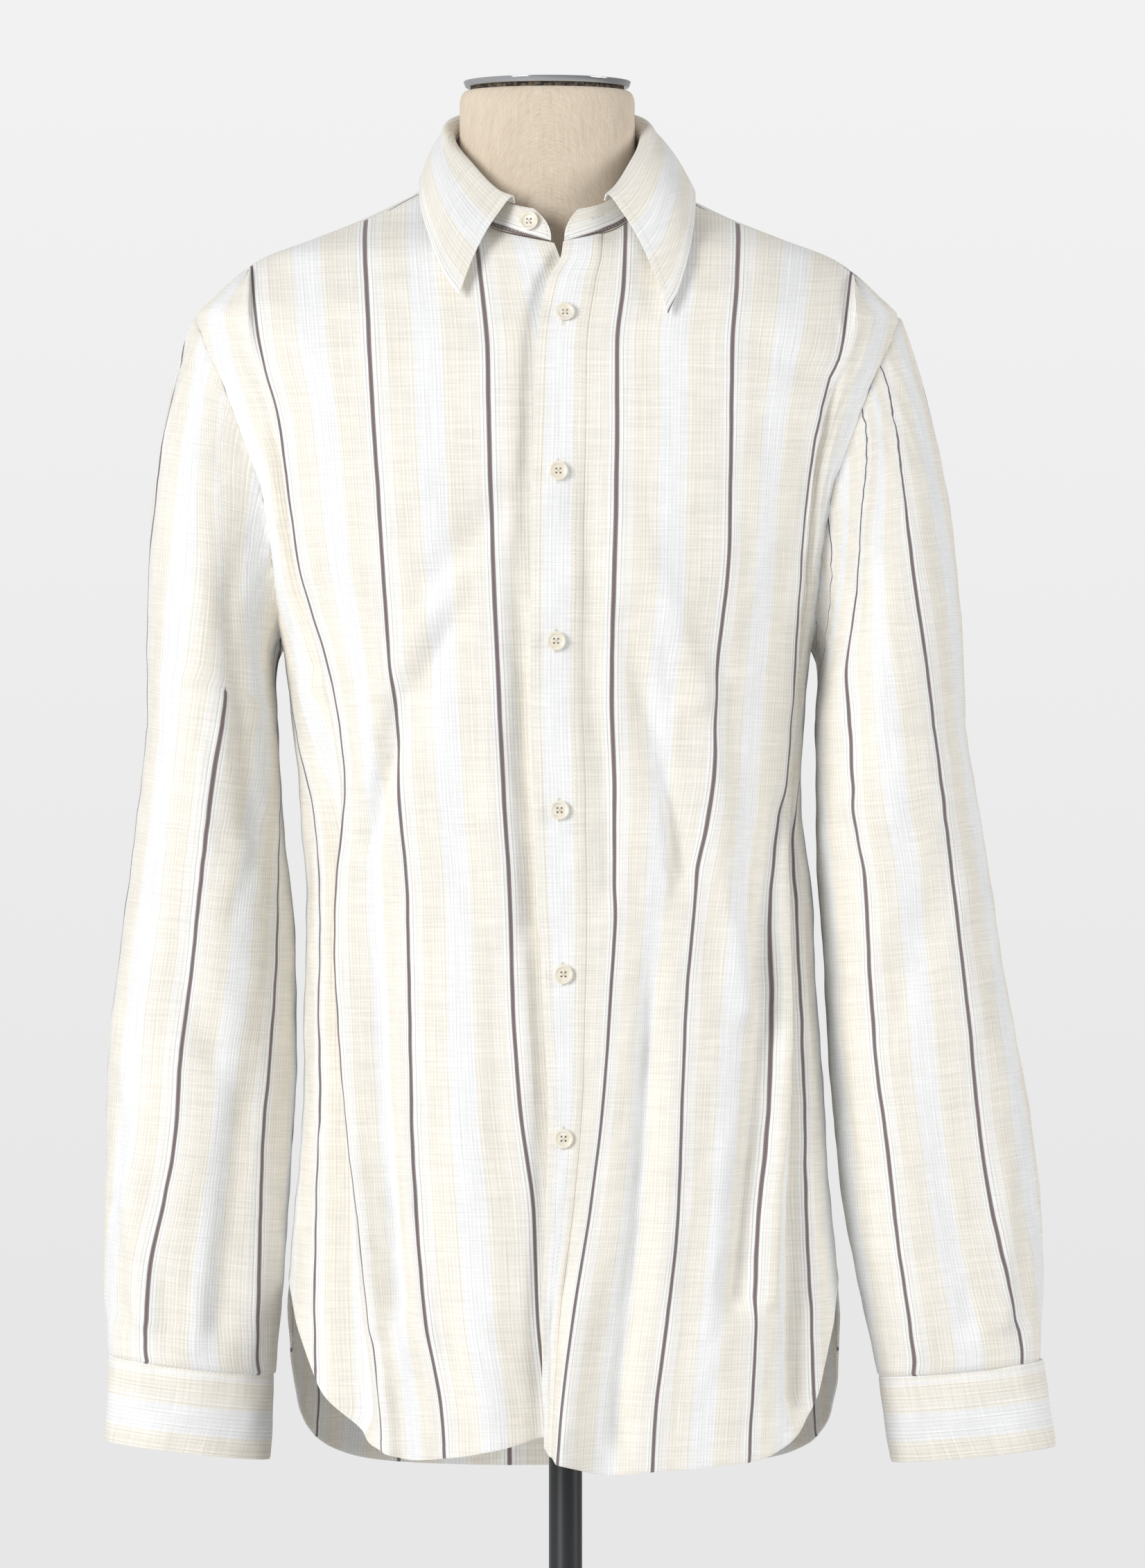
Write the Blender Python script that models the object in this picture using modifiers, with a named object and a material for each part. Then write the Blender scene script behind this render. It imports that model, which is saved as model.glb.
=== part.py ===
"""Long-sleeve striped shirt worn on a limbless dress form with a pole and a round base.

Metres, +Z up. The origin is on the floor, under the centre of the pole.
The shirt's front faces -Y, and +X is the wearer's left.
"""

import bpy
import numpy as np
from mathutils import Vector

# Driving sizes of the cloth
CLOTH = 0.0012
COLLAR_CLOTH = 0.0018
SEAM = 0.00015
LAYER = 0.0003
UNDER_LAP = 0.0048
PLACKET_LIFT = 0.0012
STAND_RAISE = 0.0011
LEAF_RAISE = 0.0013
SLEEVE_RAISE = 0.0006
LAP_OUT = 0.0027
AXIS = -0.011
FRONT_LEAN = 0.007
UNDERARM = 0.800
SIDE_SEAM = 0.290
BUTTON_RADIUS = 0.0057
BUTTON_DEPTH = 0.0026
BUTTON_GAP = 0.0006
PLACKET_BUTTONS = (0.9973, 0.9036, 0.8041, 0.7047, 0.6081, 0.5116)
POWER = 2.3
LOW_ROWS, HIGH_ROWS, YOKE_ROWS = 13, 8, 6

# Driving sizes of the dress form
NECK_CENTRE = (-0.011, 0.006)
NECK_RADIUS = 0.0525
NECK_TOP = 1.1365
CAP_RADIUS, CAP_DEPTH = 0.0505, 0.006
POLE_RADIUS = 0.010
FORM_BOTTOM = 0.470
BASE_RADIUS, BASE_DEPTH = 0.150, 0.009
SOCKET_RADIUS, SOCKET_TOP = 0.022, 0.040


def table(names, *rows):
    """Rows of numbers as named columns."""
    return dict(zip(names.split(), np.array(rows, float).T))


# Outline of the cloth body at each height: half width, and depth in front and behind
SECTIONS = table(
    "z centre half front back",
    (0.290, 0.0010, 0.1700, 0.120, 0.130),
    (0.350, 0.0000, 0.1680, 0.118, 0.128),
    (0.410, -0.0010, 0.1655, 0.115, 0.125),
    (0.470, -0.0015, 0.1600, 0.113, 0.121),
    (0.530, -0.0010, 0.1560, 0.111, 0.118),
    (0.590, -0.0030, 0.1535, 0.110, 0.116),
    (0.650, -0.0035, 0.1515, 0.110, 0.115),
    (0.700, -0.0085, 0.1500, 0.111, 0.114),
    (0.760, -0.0105, 0.1535, 0.114, 0.114),
    (0.800, -0.0110, 0.1580, 0.117, 0.115),
    (0.840, -0.0110, 0.1700, 0.1195, 0.116),
    (0.900, -0.0110, 0.1900, 0.119, 0.116),
    (0.945, -0.0110, 0.2060, 0.112, 0.113),
    (0.975, -0.0110, 0.2105, 0.103, 0.107),
    (1.000, -0.0110, 0.2110, 0.091, 0.098),
    (1.0145, -0.0110, 0.1980, 0.084, 0.092),
    (1.0265, -0.0110, 0.1850, 0.077, 0.088),
    (1.0365, -0.0110, 0.1700, 0.072, 0.085),
    (1.0470, -0.0110, 0.1420, 0.061, 0.082),
    (1.0605, -0.0110, 0.1080, 0.042, 0.080),
    (1.0800, -0.0110, 0.0660, 0.027, 0.078),
)

# Top of the shoulders: height at each distance from the neck's axis
SHOULDER = table(
    "out z",
    (0.0500, 1.0860),
    (0.0660, 1.0795),
    (0.1080, 1.0597),
    (0.1420, 1.0462),
    (0.1700, 1.0355),
    (0.1850, 1.0255),
    (0.1980, 1.0135),
    (0.2112, 0.9990),
)

# Where each woven warp line lies across the fronts: the free edges, then lines 71 mm apart
WARP_RIGHT = table(
    "z edge first second third",
    (0.300, 0.0140, -0.0080, -0.0700, -0.1050),
    (0.346, 0.0140, -0.0100, -0.0724, -0.1074),
    (0.407, 0.0160, -0.0162, -0.0826, -0.1148),
    (0.468, 0.0180, -0.0186, -0.0879, -0.1209),
    (0.529, 0.0190, -0.0264, -0.0907, -0.1278),
    (0.590, 0.0170, -0.0308, -0.0920, -0.1319),
    (0.651, 0.0145, -0.0325, -0.0932, -0.1325),
    (0.713, 0.0120, -0.0361, -0.0985, -0.1310),
    (0.774, 0.0105, -0.0390, -0.1026, -0.1360),
    (0.855, 0.0105, -0.0427, -0.1079, -0.1500),
    (0.937, 0.0125, -0.0451, -0.1132, -0.1620),
    (0.977, 0.0115, -0.0459, -0.1156, -0.1740),
    (1.018, 0.0015, -0.0500, -0.1181, -0.1873),
    (1.032, -0.0032, -0.0515, -0.1190, -0.1890),
    (1.045, -0.0085, -0.0530, -0.1195, -0.1905),
)
WARP_LEFT = table(
    "z edge first second third",
    (0.300, -0.0125, -0.0060, 0.0500, 0.1070),
    (0.346, -0.0125, -0.0031, 0.0527, 0.1097),
    (0.407, -0.0142, 0.0042, 0.0600, 0.1130),
    (0.468, -0.0113, 0.0140, 0.0661, 0.1171),
    (0.529, -0.0105, 0.0217, 0.0682, 0.1240),
    (0.590, -0.0131, 0.0262, 0.0710, 0.1270),
    (0.651, -0.0163, 0.0295, 0.0763, 0.1260),
    (0.713, -0.0189, 0.0295, 0.0845, 0.1309),
    (0.774, -0.0206, 0.0275, 0.0877, 0.1360),
    (0.855, -0.0206, 0.0290, 0.0963, 0.1400),
    (0.937, -0.0186, 0.0303, 0.0979, 0.1500),
    (0.977, -0.0173, 0.0303, 0.0983, 0.1590),
    (1.018, -0.0100, 0.0344, 0.1016, 0.1709),
    (1.032, -0.0024, 0.0350, 0.1022, 0.1735),
    (1.045, -0.0007, 0.0355, 0.1030, 0.1765),
)
WARP_AT = {-1: (-0.016, 0.041, 0.112, 0.183), 1: (-0.016, 0.0355, 0.1065, 0.1775)}
WARP = {-1: WARP_RIGHT, 1: WARP_LEFT}

# Height of the hem along the cloth, from the front edge or the centre back to the side seam
HEM = table(
    "u right left back",
    (-0.016, 0.3385, 0.3300, 0.300),
    (0.0355, 0.3375, 0.3220, 0.300),
    (0.075, 0.3290, 0.3140, 0.301),
    (0.112, 0.3235, 0.3160, 0.303),
    (0.150, 0.3220, 0.3180, 0.307),
    (0.183, 0.3265, 0.3205, 0.314),
    (0.215, 0.3360, 0.3280, 0.326),
    (0.245, 0.3560, 0.3480, 0.350),
    (0.268, 0.3860, 0.3840, 0.386),
    (0.290, 0.4220, 0.4220, 0.422),
)

# Depth of the armhole seam, in front of and behind the side seam, at each height
ARMHOLE = table(
    "z front back",
    (0.800, 0.000, 0.000),
    (0.820, 0.030, 0.032),
    (0.840, 0.044, 0.047),
    (0.870, 0.056, 0.060),
    (0.900, 0.061, 0.066),
    (0.930, 0.058, 0.065),
    (0.960, 0.048, 0.058),
    (0.985, 0.028, 0.040),
    (1.000, 0.004, 0.004),
)

# Neckline, stand and fold of the collar at each angle from the front
COLLAR = table(
    "angle seam stand crest",
    (0, 1.0400, 1.0590, 1.0640),
    (30, 1.0480, 1.0650, 1.0700),
    (60, 1.0660, 1.0880, 1.0945),
    (90, 1.0810, 1.1060, 1.1140),
    (135, 1.0870, 1.1190, 1.1270),
    (180, 1.0900, 1.1235, 1.1310),
)

# Outer edge of the collar leaf, from the point round to the centre back
LEAF_EDGE = {
    -1: table(
        "s x y z",
        (0.00, -0.0628, -0.0940, 1.0085),
        (0.10, -0.0715, -0.0860, 1.0215),
        (0.25, -0.0805, -0.0690, 1.0440),
        (0.40, -0.0865, -0.0360, 1.0670),
        (0.52, -0.0878, -0.0080, 1.0800),
        (0.68, -0.0830, 0.0360, 1.0840),
        (0.84, -0.0560, 0.0790, 1.0870),
        (0.94, -0.0290, 0.0915, 1.0880),
        (1.00, -0.0110, 0.0940, 1.0880),
    ),
    1: table(
        "s x y z",
        (0.00, 0.0606, -0.0950, 0.9975),
        (0.10, 0.0665, -0.0880, 1.0115),
        (0.25, 0.0735, -0.0700, 1.0370),
        (0.40, 0.0770, -0.0370, 1.0610),
        (0.52, 0.0778, -0.0080, 1.0735),
        (0.68, 0.0700, 0.0360, 1.0830),
        (0.84, 0.0380, 0.0790, 1.0865),
        (0.94, 0.0080, 0.0915, 1.0880),
        (1.00, -0.0110, 0.0940, 1.0880),
    ),
}

# Sleeve at each height: outer and inner edge seen from the front, and half depth
SLEEVE = {
    -1: table(
        "z outer inner depth",
        (0.372, -0.2745, -0.1745, 0.036),
        (0.424, -0.2770, -0.1700, 0.043),
        (0.480, -0.2760, -0.1660, 0.048),
        (0.558, -0.2740, -0.1620, 0.054),
        (0.620, -0.2675, -0.1625, 0.058),
        (0.687, -0.2590, -0.1690, 0.064),
        (0.755, -0.2515, -0.1735, 0.068),
    ),
    1: table(
        "z outer inner depth",
        (0.370, 0.2850, 0.1880, 0.036),
        (0.424, 0.2865, 0.1760, 0.043),
        (0.469, 0.2850, 0.1668, 0.048),
        (0.519, 0.2790, 0.1615, 0.052),
        (0.564, 0.2710, 0.1580, 0.055),
        (0.620, 0.2610, 0.1550, 0.058),
        (0.687, 0.2510, 0.1510, 0.064),
        (0.755, 0.2395, 0.1505, 0.068),
    ),
}
SLEEVE_TILT = {-1: -0.115, 1: 0.095}
CUFF_MIDDLE = {-1: (-0.2243, -0.2268), 1: (0.2370, 0.2450)}
CUFF_HEIGHT = {-1: (0.3718, 0.3200), 1: (0.3696, 0.3175)}
CUFF_HALF, CUFF_DEPTH, CUFF_CLOTH = 0.0482, 0.029, 0.0018
CUFF_OPENING, CUFF_LAP = 3.75, 0.42

# Folds: ends as (u, z) on the cloth, then width and depth, where a ridge is above zero
FOLD_COLUMNS = "u0 z0 u1 z1 width depth"
FOLDS_RIGHT = table(
    FOLD_COLUMNS,
    (0.027, 0.889, 0.087, 0.834, 0.010, -0.0060),
    (0.045, 0.857, 0.150, 0.690, 0.012, -0.0070),
    (0.038, 0.870, 0.100, 0.790, 0.010, 0.0030),
    (0.024, 0.860, 0.024, 0.640, 0.010, -0.0055),
    (0.046, 0.800, 0.050, 0.640, 0.012, 0.0035),
    (0.205, 0.960, 0.222, 0.790, 0.011, -0.0070),
    (0.222, 0.760, 0.216, 0.350, 0.017, -0.0190),
    (0.148, 0.660, 0.145, 0.420, 0.013, -0.0080),
    (0.184, 0.700, 0.178, 0.400, 0.010, 0.0050),
    (0.075, 0.560, 0.080, 0.330, 0.020, 0.0060),
    (0.176, 0.380, 0.176, 0.310, 0.009, 0.0060),
)
FOLDS_LEFT = table(
    FOLD_COLUMNS,
    (0.017, 0.900, 0.031, 0.660, 0.010, -0.0060),
    (0.043, 0.814, 0.094, 0.670, 0.012, -0.0080),
    (0.040, 0.879, 0.096, 0.773, 0.011, 0.0050),
    (0.096, 0.773, 0.150, 0.590, 0.012, 0.0060),
    (0.118, 0.980, 0.180, 0.960, 0.007, -0.0030),
    (0.200, 0.950, 0.220, 0.790, 0.011, -0.0070),
    (0.075, 0.640, 0.078, 0.340, 0.013, -0.0090),
    (0.172, 0.700, 0.165, 0.420, 0.012, -0.0100),
    (0.195, 0.680, 0.195, 0.420, 0.011, 0.0040),
    (0.236, 0.760, 0.230, 0.360, 0.013, -0.0110),
    (0.038, 0.440, 0.036, 0.280, 0.018, 0.0140),
    (0.038, 0.360, 0.036, 0.280, 0.018, 0.0110),
)
FOLDS_BACK = table(
    FOLD_COLUMNS,
    (-0.090, 0.880, -0.060, 0.400, 0.016, -0.0080),
    (0.080, 0.900, 0.075, 0.420, 0.016, -0.0080),
    (-0.020, 0.760, 0.005, 0.330, 0.018, 0.0060),
    (-0.170, 0.860, -0.150, 0.380, 0.015, -0.0100),
    (0.165, 0.840, 0.155, 0.400, 0.015, -0.0100),
    (-0.120, 0.600, -0.110, 0.320, 0.015, 0.0060),
    (0.120, 0.620, 0.118, 0.320, 0.015, 0.0060),
    (-0.236, 0.740, -0.228, 0.400, 0.013, -0.0080),
    (0.236, 0.740, 0.228, 0.400, 0.013, -0.0080),
)
FOLDS = {"right": FOLDS_RIGHT, "left": FOLDS_LEFT, "back": FOLDS_BACK}

# Folds of the sleeves: ends as (angle in turns from the underarm, z), then width and depth
SLEEVE_FOLDS = {
    -1: table(
        FOLD_COLUMNS,
        (0.20, 0.860, 0.14, 0.700, 0.012, -0.0050),
        (0.33, 0.640, 0.22, 0.560, 0.013, -0.0050),
        (0.38, 0.500, 0.34, 0.400, 0.010, 0.0040),
        (0.16, 0.560, 0.19, 0.400, 0.010, -0.0045),
        (0.74, 0.820, 0.70, 0.560, 0.013, -0.0060),
        (0.64, 0.520, 0.66, 0.390, 0.010, -0.0050),
    ),
    1: table(
        FOLD_COLUMNS,
        (0.20, 0.870, 0.15, 0.720, 0.012, -0.0050),
        (0.31, 0.660, 0.20, 0.580, 0.013, -0.0045),
        (0.24, 0.520, 0.27, 0.400, 0.010, -0.0045),
        (0.36, 0.500, 0.33, 0.400, 0.010, 0.0040),
        (0.73, 0.820, 0.71, 0.560, 0.013, -0.0060),
        (0.63, 0.520, 0.66, 0.390, 0.010, -0.0050),
    ),
}

# Dress form at each height
FORM = table(
    "z centre half front back power",
    (0.470, 0.000, 0.1120, 0.0830, 0.0870, 2.15),
    (0.485, 0.000, 0.1180, 0.0880, 0.0920, 2.15),
    (0.560, -0.001, 0.1200, 0.0890, 0.0930, 2.15),
    (0.640, -0.003, 0.1150, 0.0850, 0.0870, 2.15),
    (0.720, -0.008, 0.1190, 0.0880, 0.0880, 2.15),
    (0.800, -0.011, 0.1320, 0.0960, 0.0950, 2.15),
    (0.860, -0.011, 0.1460, 0.1000, 0.0980, 2.15),
    (0.920, -0.011, 0.1650, 0.0940, 0.0970, 2.1),
    (0.970, -0.011, 0.1840, 0.0790, 0.0890, 2.0),
    (1.000, -0.011, 0.1900, 0.0650, 0.0800, 1.8),
    (1.0119, -0.011, 0.1880, 0.0560, 0.0760, 1.6),
    (1.0239, -0.011, 0.1770, 0.0520, 0.0730, 1.5),
    (1.0344, -0.011, 0.1640, 0.0490, 0.0700, 1.5),
    (1.0456, -0.011, 0.1410, 0.0475, 0.0670, 1.5),
    (1.0536, -0.011, 0.1100, 0.0470, 0.0640, 1.6),
    (1.0575, -0.011, 0.0830, 0.0468, 0.0620, 1.8),
    (1.0615, -0.011, 0.0660, 0.0466, 0.0605, 2.0),
    (1.0680, -0.011, 0.0570, 0.0465, 0.0595, 2.0),
    (1.0850, -0.011, 0.0530, 0.0465, 0.0588, 2.0),
)
FORM_SIDES = 28


def smooth(value, xs, ys):
    """Smooth curve through the points that never runs past them."""
    step = np.diff(xs)
    slope = np.diff(ys) / step
    product = slope[:-1] * slope[1:]
    total = np.where(product > 0, slope[:-1] + slope[1:], 1)
    inner = np.where(product > 0, 2 * product / total, 0)
    tangent = np.concatenate((slope[:1], inner, slope[-1:]))
    k = np.clip(np.searchsorted(xs, value) - 1, 0, len(step) - 1)
    t = np.clip((value - xs[k]) / step[k], 0, 1)
    rise = ys[k] + t * t * (3 - 2 * t) * (ys[k + 1] - ys[k])
    bend = t * (1 - t) ** 2 * tangent[k] - t * t * (1 - t) * tangent[k + 1]
    return rise + bend * step[k]


def at(rows, name, value, key="z"):
    return smooth(np.asarray(value, float), rows[key], rows[name])


def ease(value):
    """0 below 0, 1 above 1, and a smooth step between."""
    t = np.clip(value, 0, 1)
    return t * t * (3 - 2 * t)


def mix(a, b, t):
    return a + (b - a) * t


# Body outline
def outline(x, z, facing):
    """y on the body's outline, and its outward normal in plan. Facing is -1 in front."""
    depth = at(SECTIONS, "front" if facing < 0 else "back", z)
    half = at(SECTIONS, "half", z)
    across = (x - at(SECTIONS, "centre", z)) / half
    share = np.minimum(np.abs(across), 0.9995)
    y = facing * depth * (1 - share**POWER) ** (1 / POWER)
    nx = np.sign(across) * share ** (POWER - 1) / half
    ny = facing * (np.abs(y) / depth) ** (POWER - 1) / depth
    length = np.hypot(nx, ny)
    return y, nx / length, ny / length


def armhole_x(z, facing, side):
    name = "front" if facing < 0 else "back"
    share = np.minimum(at(ARMHOLE, name, z) / at(SECTIONS, name, z), 0.999)
    half = at(SECTIONS, "half", z) * (1 - share**POWER) ** (1 / POWER)
    return at(SECTIONS, "centre", z) + side * half


def side_x(z, facing, side):
    seam = at(SECTIONS, "centre", z) + side * at(SECTIONS, "half", z)
    return np.where(z > UNDERARM, armhole_x(z, facing, side), seam)


def push(u, z, folds, length=1.0):
    """How far the folds lift the cloth at (u, z). Length turns u into metres."""
    total = np.zeros(np.broadcast(u, z).shape)
    for u0, z0, u1, z1, width, depth in zip(*(folds[name] for name in FOLD_COLUMNS.split())):
        run = np.array(((u1 - u0) * length, z1 - z0))
        du, dz = (u - u0) * length, z - z0
        t = np.clip((du * run[0] + dz * run[1]) / (run @ run), 0, 1)
        away = np.hypot(du - t * run[0], dz - t * run[1])
        total = total + depth * np.exp(-((away / width) ** 2))
    return total


# Neck and shoulder seams
def ring_point(angle, half, middle, front, back, height):
    """Point of a neck ring at an angle from the front, counted towards +X."""
    turn = np.radians(angle)
    x = AXIS + FRONT_LEAN * np.maximum(np.cos(turn), 0) ** 2 + half * np.sin(turn)
    y = middle - mix(back, front, (1 + np.cos(turn)) / 2) * np.cos(turn)
    return np.stack((x, y, at(COLLAR, height, np.abs(angle), "angle")), -1)


def neck_point(angle):
    return ring_point(angle, 0.066, 0.004, 0.074, 0.074, "seam")


JUNCTION = 78.0
YOKE_SPREAD = 0.115


def yoke_seam(side, s):
    """Front yoke seam, from the collar at 0 to the shoulder point at 1."""
    start = neck_point(np.array(side * JUNCTION))
    x = mix(start[0], AXIS + side * SHOULDER["out"][-1], s)
    top = at(SHOULDER, "z", np.abs(x - AXIS), "out")
    lift = start[2] - at(SHOULDER, "z", abs(start[0] - AXIS), "out")
    return np.stack((x, mix(start[1], -0.004, s), top + lift * (1 - s) ** 3), -1)


def front_top(side, x):
    """Point of the neckline or of the yoke seam at x."""
    angles = np.linspace(-JUNCTION, JUNCTION, 79)
    neck = neck_point(angles)
    start = neck_point(np.array(side * JUNCTION))[0]
    on_neck = neck_point(np.interp(x, neck[:, 0], angles))
    reach = AXIS + side * SHOULDER["out"][-1] - start
    on_seam = yoke_seam(side, np.clip((x - start) / reach, 0, 1))
    return np.where((side * (x - start) < 0)[..., None], on_neck, on_seam)


# Fronts
def warp_x(side, u, z):
    """x of the warp line u at height z."""
    lines = WARP_AT[side]
    known = [at(WARP[side], name, z) for name in ("edge", "first", "second", "third")]
    beyond = np.interp(u, (lines[-1], lines[-1] + 0.071, SIDE_SEAM), (0, 0.66, 1))
    x = known[0]
    for left, right, start, end in zip(known, known[1:], lines, lines[1:]):
        x = np.where(u >= start, mix(left, right, (u - start) / (end - start)), x)
    outer = mix(known[-1], side_x(z, -1, side), beyond)
    return np.where(u > lines[-1], outer, x)


def front_surface(side, u, z, top):
    """Points of a front, with its upper edge brought onto the seams."""
    folds = FOLDS["left" if side > 0 else "right"]

    def plain(height):
        x = warp_x(side, u, height)
        y, nx, ny = outline(x, height, -1)
        lift = push(u, height, folds) * np.clip((top - height) / 0.04, 0, 1)
        lift = lift + (PLACKET_LIFT * ease((0.045 - u) / 0.02) if side > 0 else 0)
        return np.stack((x + nx * lift, y + ny * lift, height), -1)

    target = front_top(side, warp_x(side, u, top))
    weight = ease((z - top + 0.06) / 0.06)[..., None]
    return plain(z) + (target - plain(top)) * weight


def depth_under(upper, x, z):
    """y of the upper front at (x, z), for the edge that lies under it."""
    lines = upper[:9]
    y = np.empty(x.shape)
    for i in np.ndindex(x.shape):
        row = [[np.interp(z[i], line[:, 2], line[:, axis]) for line in lines] for axis in (0, 1)]
        y[i] = np.interp(x[i], *row)
    return y


def rows_of(low, high, steep_top):
    """Share of the way from hem to underarm, and from underarm to the top, for each row."""
    below = np.concatenate((np.arange(low) / low, np.ones(high + 1)))
    turn = np.arange(high + 1) / high * (np.pi if steep_top else np.pi / 2)
    rise = (1 - np.cos(turn)) / (2 if steep_top else 1)
    return below, np.concatenate((np.zeros(low), rise))


def front_grid(side, columns, upper=None, low=LOW_ROWS, high=HIGH_ROWS):
    u = np.array(columns)[:, None] * np.ones(low + high + 1)
    below, above = rows_of(low, high, True)
    top_x = warp_x(side, u, np.full(u.shape, 1.045))
    top_x = np.where(u >= SIDE_SEAM, AXIS + side * SHOULDER["out"][-1], top_x)
    top = front_top(side, top_x)[..., 2]
    hem = at(HEM, "left" if side > 0 else "right", u, "u")
    z = hem + (UNDERARM - hem) * below + (top - UNDERARM) * above
    points = front_surface(side, u, z, top)
    points[..., -1, :] = front_top(side, top_x[..., -1])
    if upper is not None:
        under = depth_under(upper, points[..., 0], points[..., 2]) + UNDER_LAP
        edge = np.interp(points[..., 2], upper[0, :, 2], upper[0, :, 0])
        lapped = (points[..., 0] - edge + 0.012) / 0.010
        hidden = ease(lapped) * ease((1.042 - points[..., 2]) / 0.012)
        points[..., 1] = np.maximum(points[..., 1], mix(points[..., 1], under, hidden))
    return points


# Back and yoke
def back_top(u):
    return 0.978 - 0.018 * (np.abs(u) / SIDE_SEAM) ** 2


def back_surface(u, z):
    side = np.where(u < 0, -1, 1)
    half = at(SECTIONS, "half", z)
    centre = at(SECTIONS, "centre", z)
    edge = np.abs(side_x(z, 1, side) - centre) / half
    turn = np.abs(u) / SIDE_SEAM * np.arcsin(np.minimum(edge, 1))
    x = centre + side * half * np.sin(turn)
    y, nx, ny = outline(x, z, 1)
    fade = np.clip((back_top(u) - z) / 0.05, 0, 1)
    lift = push(u, z, FOLDS["back"]) * fade
    return np.stack((x + nx * lift, y + ny * lift, z), -1)


def back_grid(columns, low=LOW_ROWS, high=HIGH_ROWS - 1):
    u = np.array(columns)[:, None] * np.ones(low + high + 1)
    below, above = rows_of(low, high, False)
    hem = at(HEM, "back", np.abs(u), "u")
    z = hem + (UNDERARM - hem) * below + (back_top(u) - UNDERARM) * above
    return back_surface(u, z)


def yoke_grid(shoulder=7, neck=12, rows=YOKE_ROWS):
    """From the front seams and the neckline over the shoulders to the back seam."""
    out = np.linspace(1, 0, shoulder + 1)[:-1]
    angles = -JUNCTION - np.linspace(0, 360 - 2 * JUNCTION, neck + 1)
    angles = np.where(angles < -180, angles + 360, angles)
    starts = [yoke_seam(-1, s) for s in out]
    starts += [neck_point(np.array(a)) for a in angles]
    starts += [yoke_seam(1, s) for s in out[::-1]]
    wide = mix(SIDE_SEAM, YOKE_SPREAD, 1 - out)
    u = np.concatenate((-wide, np.linspace(-YOKE_SPREAD, YOKE_SPREAD, neck + 1), wide[::-1]))
    ends = back_surface(u, back_top(u))
    around = np.concatenate((-JUNCTION + 0 * out, angles, JUNCTION + 0 * out))
    spread = np.concatenate((-0.55 * (1 - out) ** 2, 0.55 * np.sign(angles), 0.55 * (1 - out[::-1]) ** 2))
    grid = []
    for start, end, angle, lean in zip(starts, ends, around, spread):
        reach = np.linalg.norm(end - start) * 1.15
        sloping = np.array((0.60 * np.sin(np.radians(angle)), 0.60, -0.66))
        share = ease((abs(angle) - JUNCTION) / 60)
        first = mix(np.array((lean, 0.90, 0.12)), sloping, share)
        last = np.array((0, 0.20, -0.98))
        t = (np.arange(rows + 1) / rows)[:, None] ** 1.3
        rise = t * t * (3 - 2 * t)
        bend = t * (1 - t) ** 2 * first - t * t * (1 - t) * last
        grid.append(mix(start, end, rise) + reach * bend)
    return np.array(grid)


# Sleeves and cuffs
def armhole_loop(side, front, yoke, back):
    """Armhole from the underarm up the front, over the yoke and down the back."""
    over = yoke[-1] if side > 0 else yoke[0]
    rear = back[-1] if side > 0 else back[0]
    rising = front[-1][-HIGH_ROWS - 1 : -1]
    falling = rear[-HIGH_ROWS + 1 : -1][::-1]
    return np.concatenate((rising, over, falling))


def sleeve_ring(side, turn, z, grow=0.0):
    """Ring of the sleeve, where turn is 0 at the underarm and half at the outside."""
    rows = SLEEVE[side]
    inner, outer = at(rows, "inner", z), at(rows, "outer", z)
    angle = turn * 2 * np.pi
    middle, half = (inner + outer) / 2, (outer - inner) / 2
    lift = push(turn, z, SLEEVE_FOLDS[side], 0.34) + grow
    x = middle - (half + side * lift) * np.cos(angle)
    y = -0.002 - (at(rows, "depth", z) + lift) * np.sin(angle)
    tilt = SLEEVE_TILT[side] * (x - middle) * ease((0.46 - z) / 0.08)
    return np.stack((x, y, z + tilt + 0 * x), -1)


def loop_turns(loop):
    """Share of a turn for each point of the armhole, half a turn at its top."""
    steps = np.linalg.norm(np.diff(np.concatenate((loop, loop[:1])), axis=0), axis=1)
    run = np.concatenate(((0,), np.cumsum(steps)))
    top = int(np.argmax(loop[:, 2]))
    return np.interp(run[:-1], (0, run[top], run[-1]), (0, 0.5, 1))


def sleeve_grid(side, loop, cap=6, lower=15):
    turn = loop_turns(loop)
    high, low = 0.755, SLEEVE[side]["z"][0] + SLEEVE_RAISE
    round_up = np.cos(turn * 2 * np.pi)[:, None]
    forward = np.sin(turn * 2 * np.pi)[:, None]
    start = loop + np.array((side, 0, 0)) * (0.0006 + 0.0009 * round_up**2)
    end = sleeve_ring(side, turn, np.full(turn.shape, high))
    along = (
        np.maximum(-round_up, 0) * np.array((side * 0.30, 0, -1.0))
        + np.maximum(round_up, 0) * np.array((side * 0.45, 0, -0.85))
        + np.maximum(forward, 0) * np.array((side * 0.80, -0.30, -0.50))
        + np.maximum(-forward, 0) * np.array((side * 0.80, 0.30, -0.50))
    )
    along /= np.linalg.norm(along, axis=1)[:, None]
    reach = np.linalg.norm(end - start, axis=1)[:, None]
    rings = []
    for t in np.arange(cap) / cap:
        rise = t * t * (3 - 2 * t)
        bend = t * (1 - t) ** 2 * along - t * t * (1 - t) * np.array((0, 0, -1.0))
        ring = mix(start, end, rise) + reach * bend
        if t > 0:
            fade = ease(t * 2.5)
            ring[:, 1] -= fade * push(turn, ring[:, 2], SLEEVE_FOLDS[side], 0.34) * forward[:, 0]
        rings.append(ring)
    for z in np.linspace(high, low, lower + 1):
        rings.append(sleeve_ring(side, turn, np.full(turn.shape, z)))
    return np.array(rings).transpose(1, 0, 2)


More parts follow.
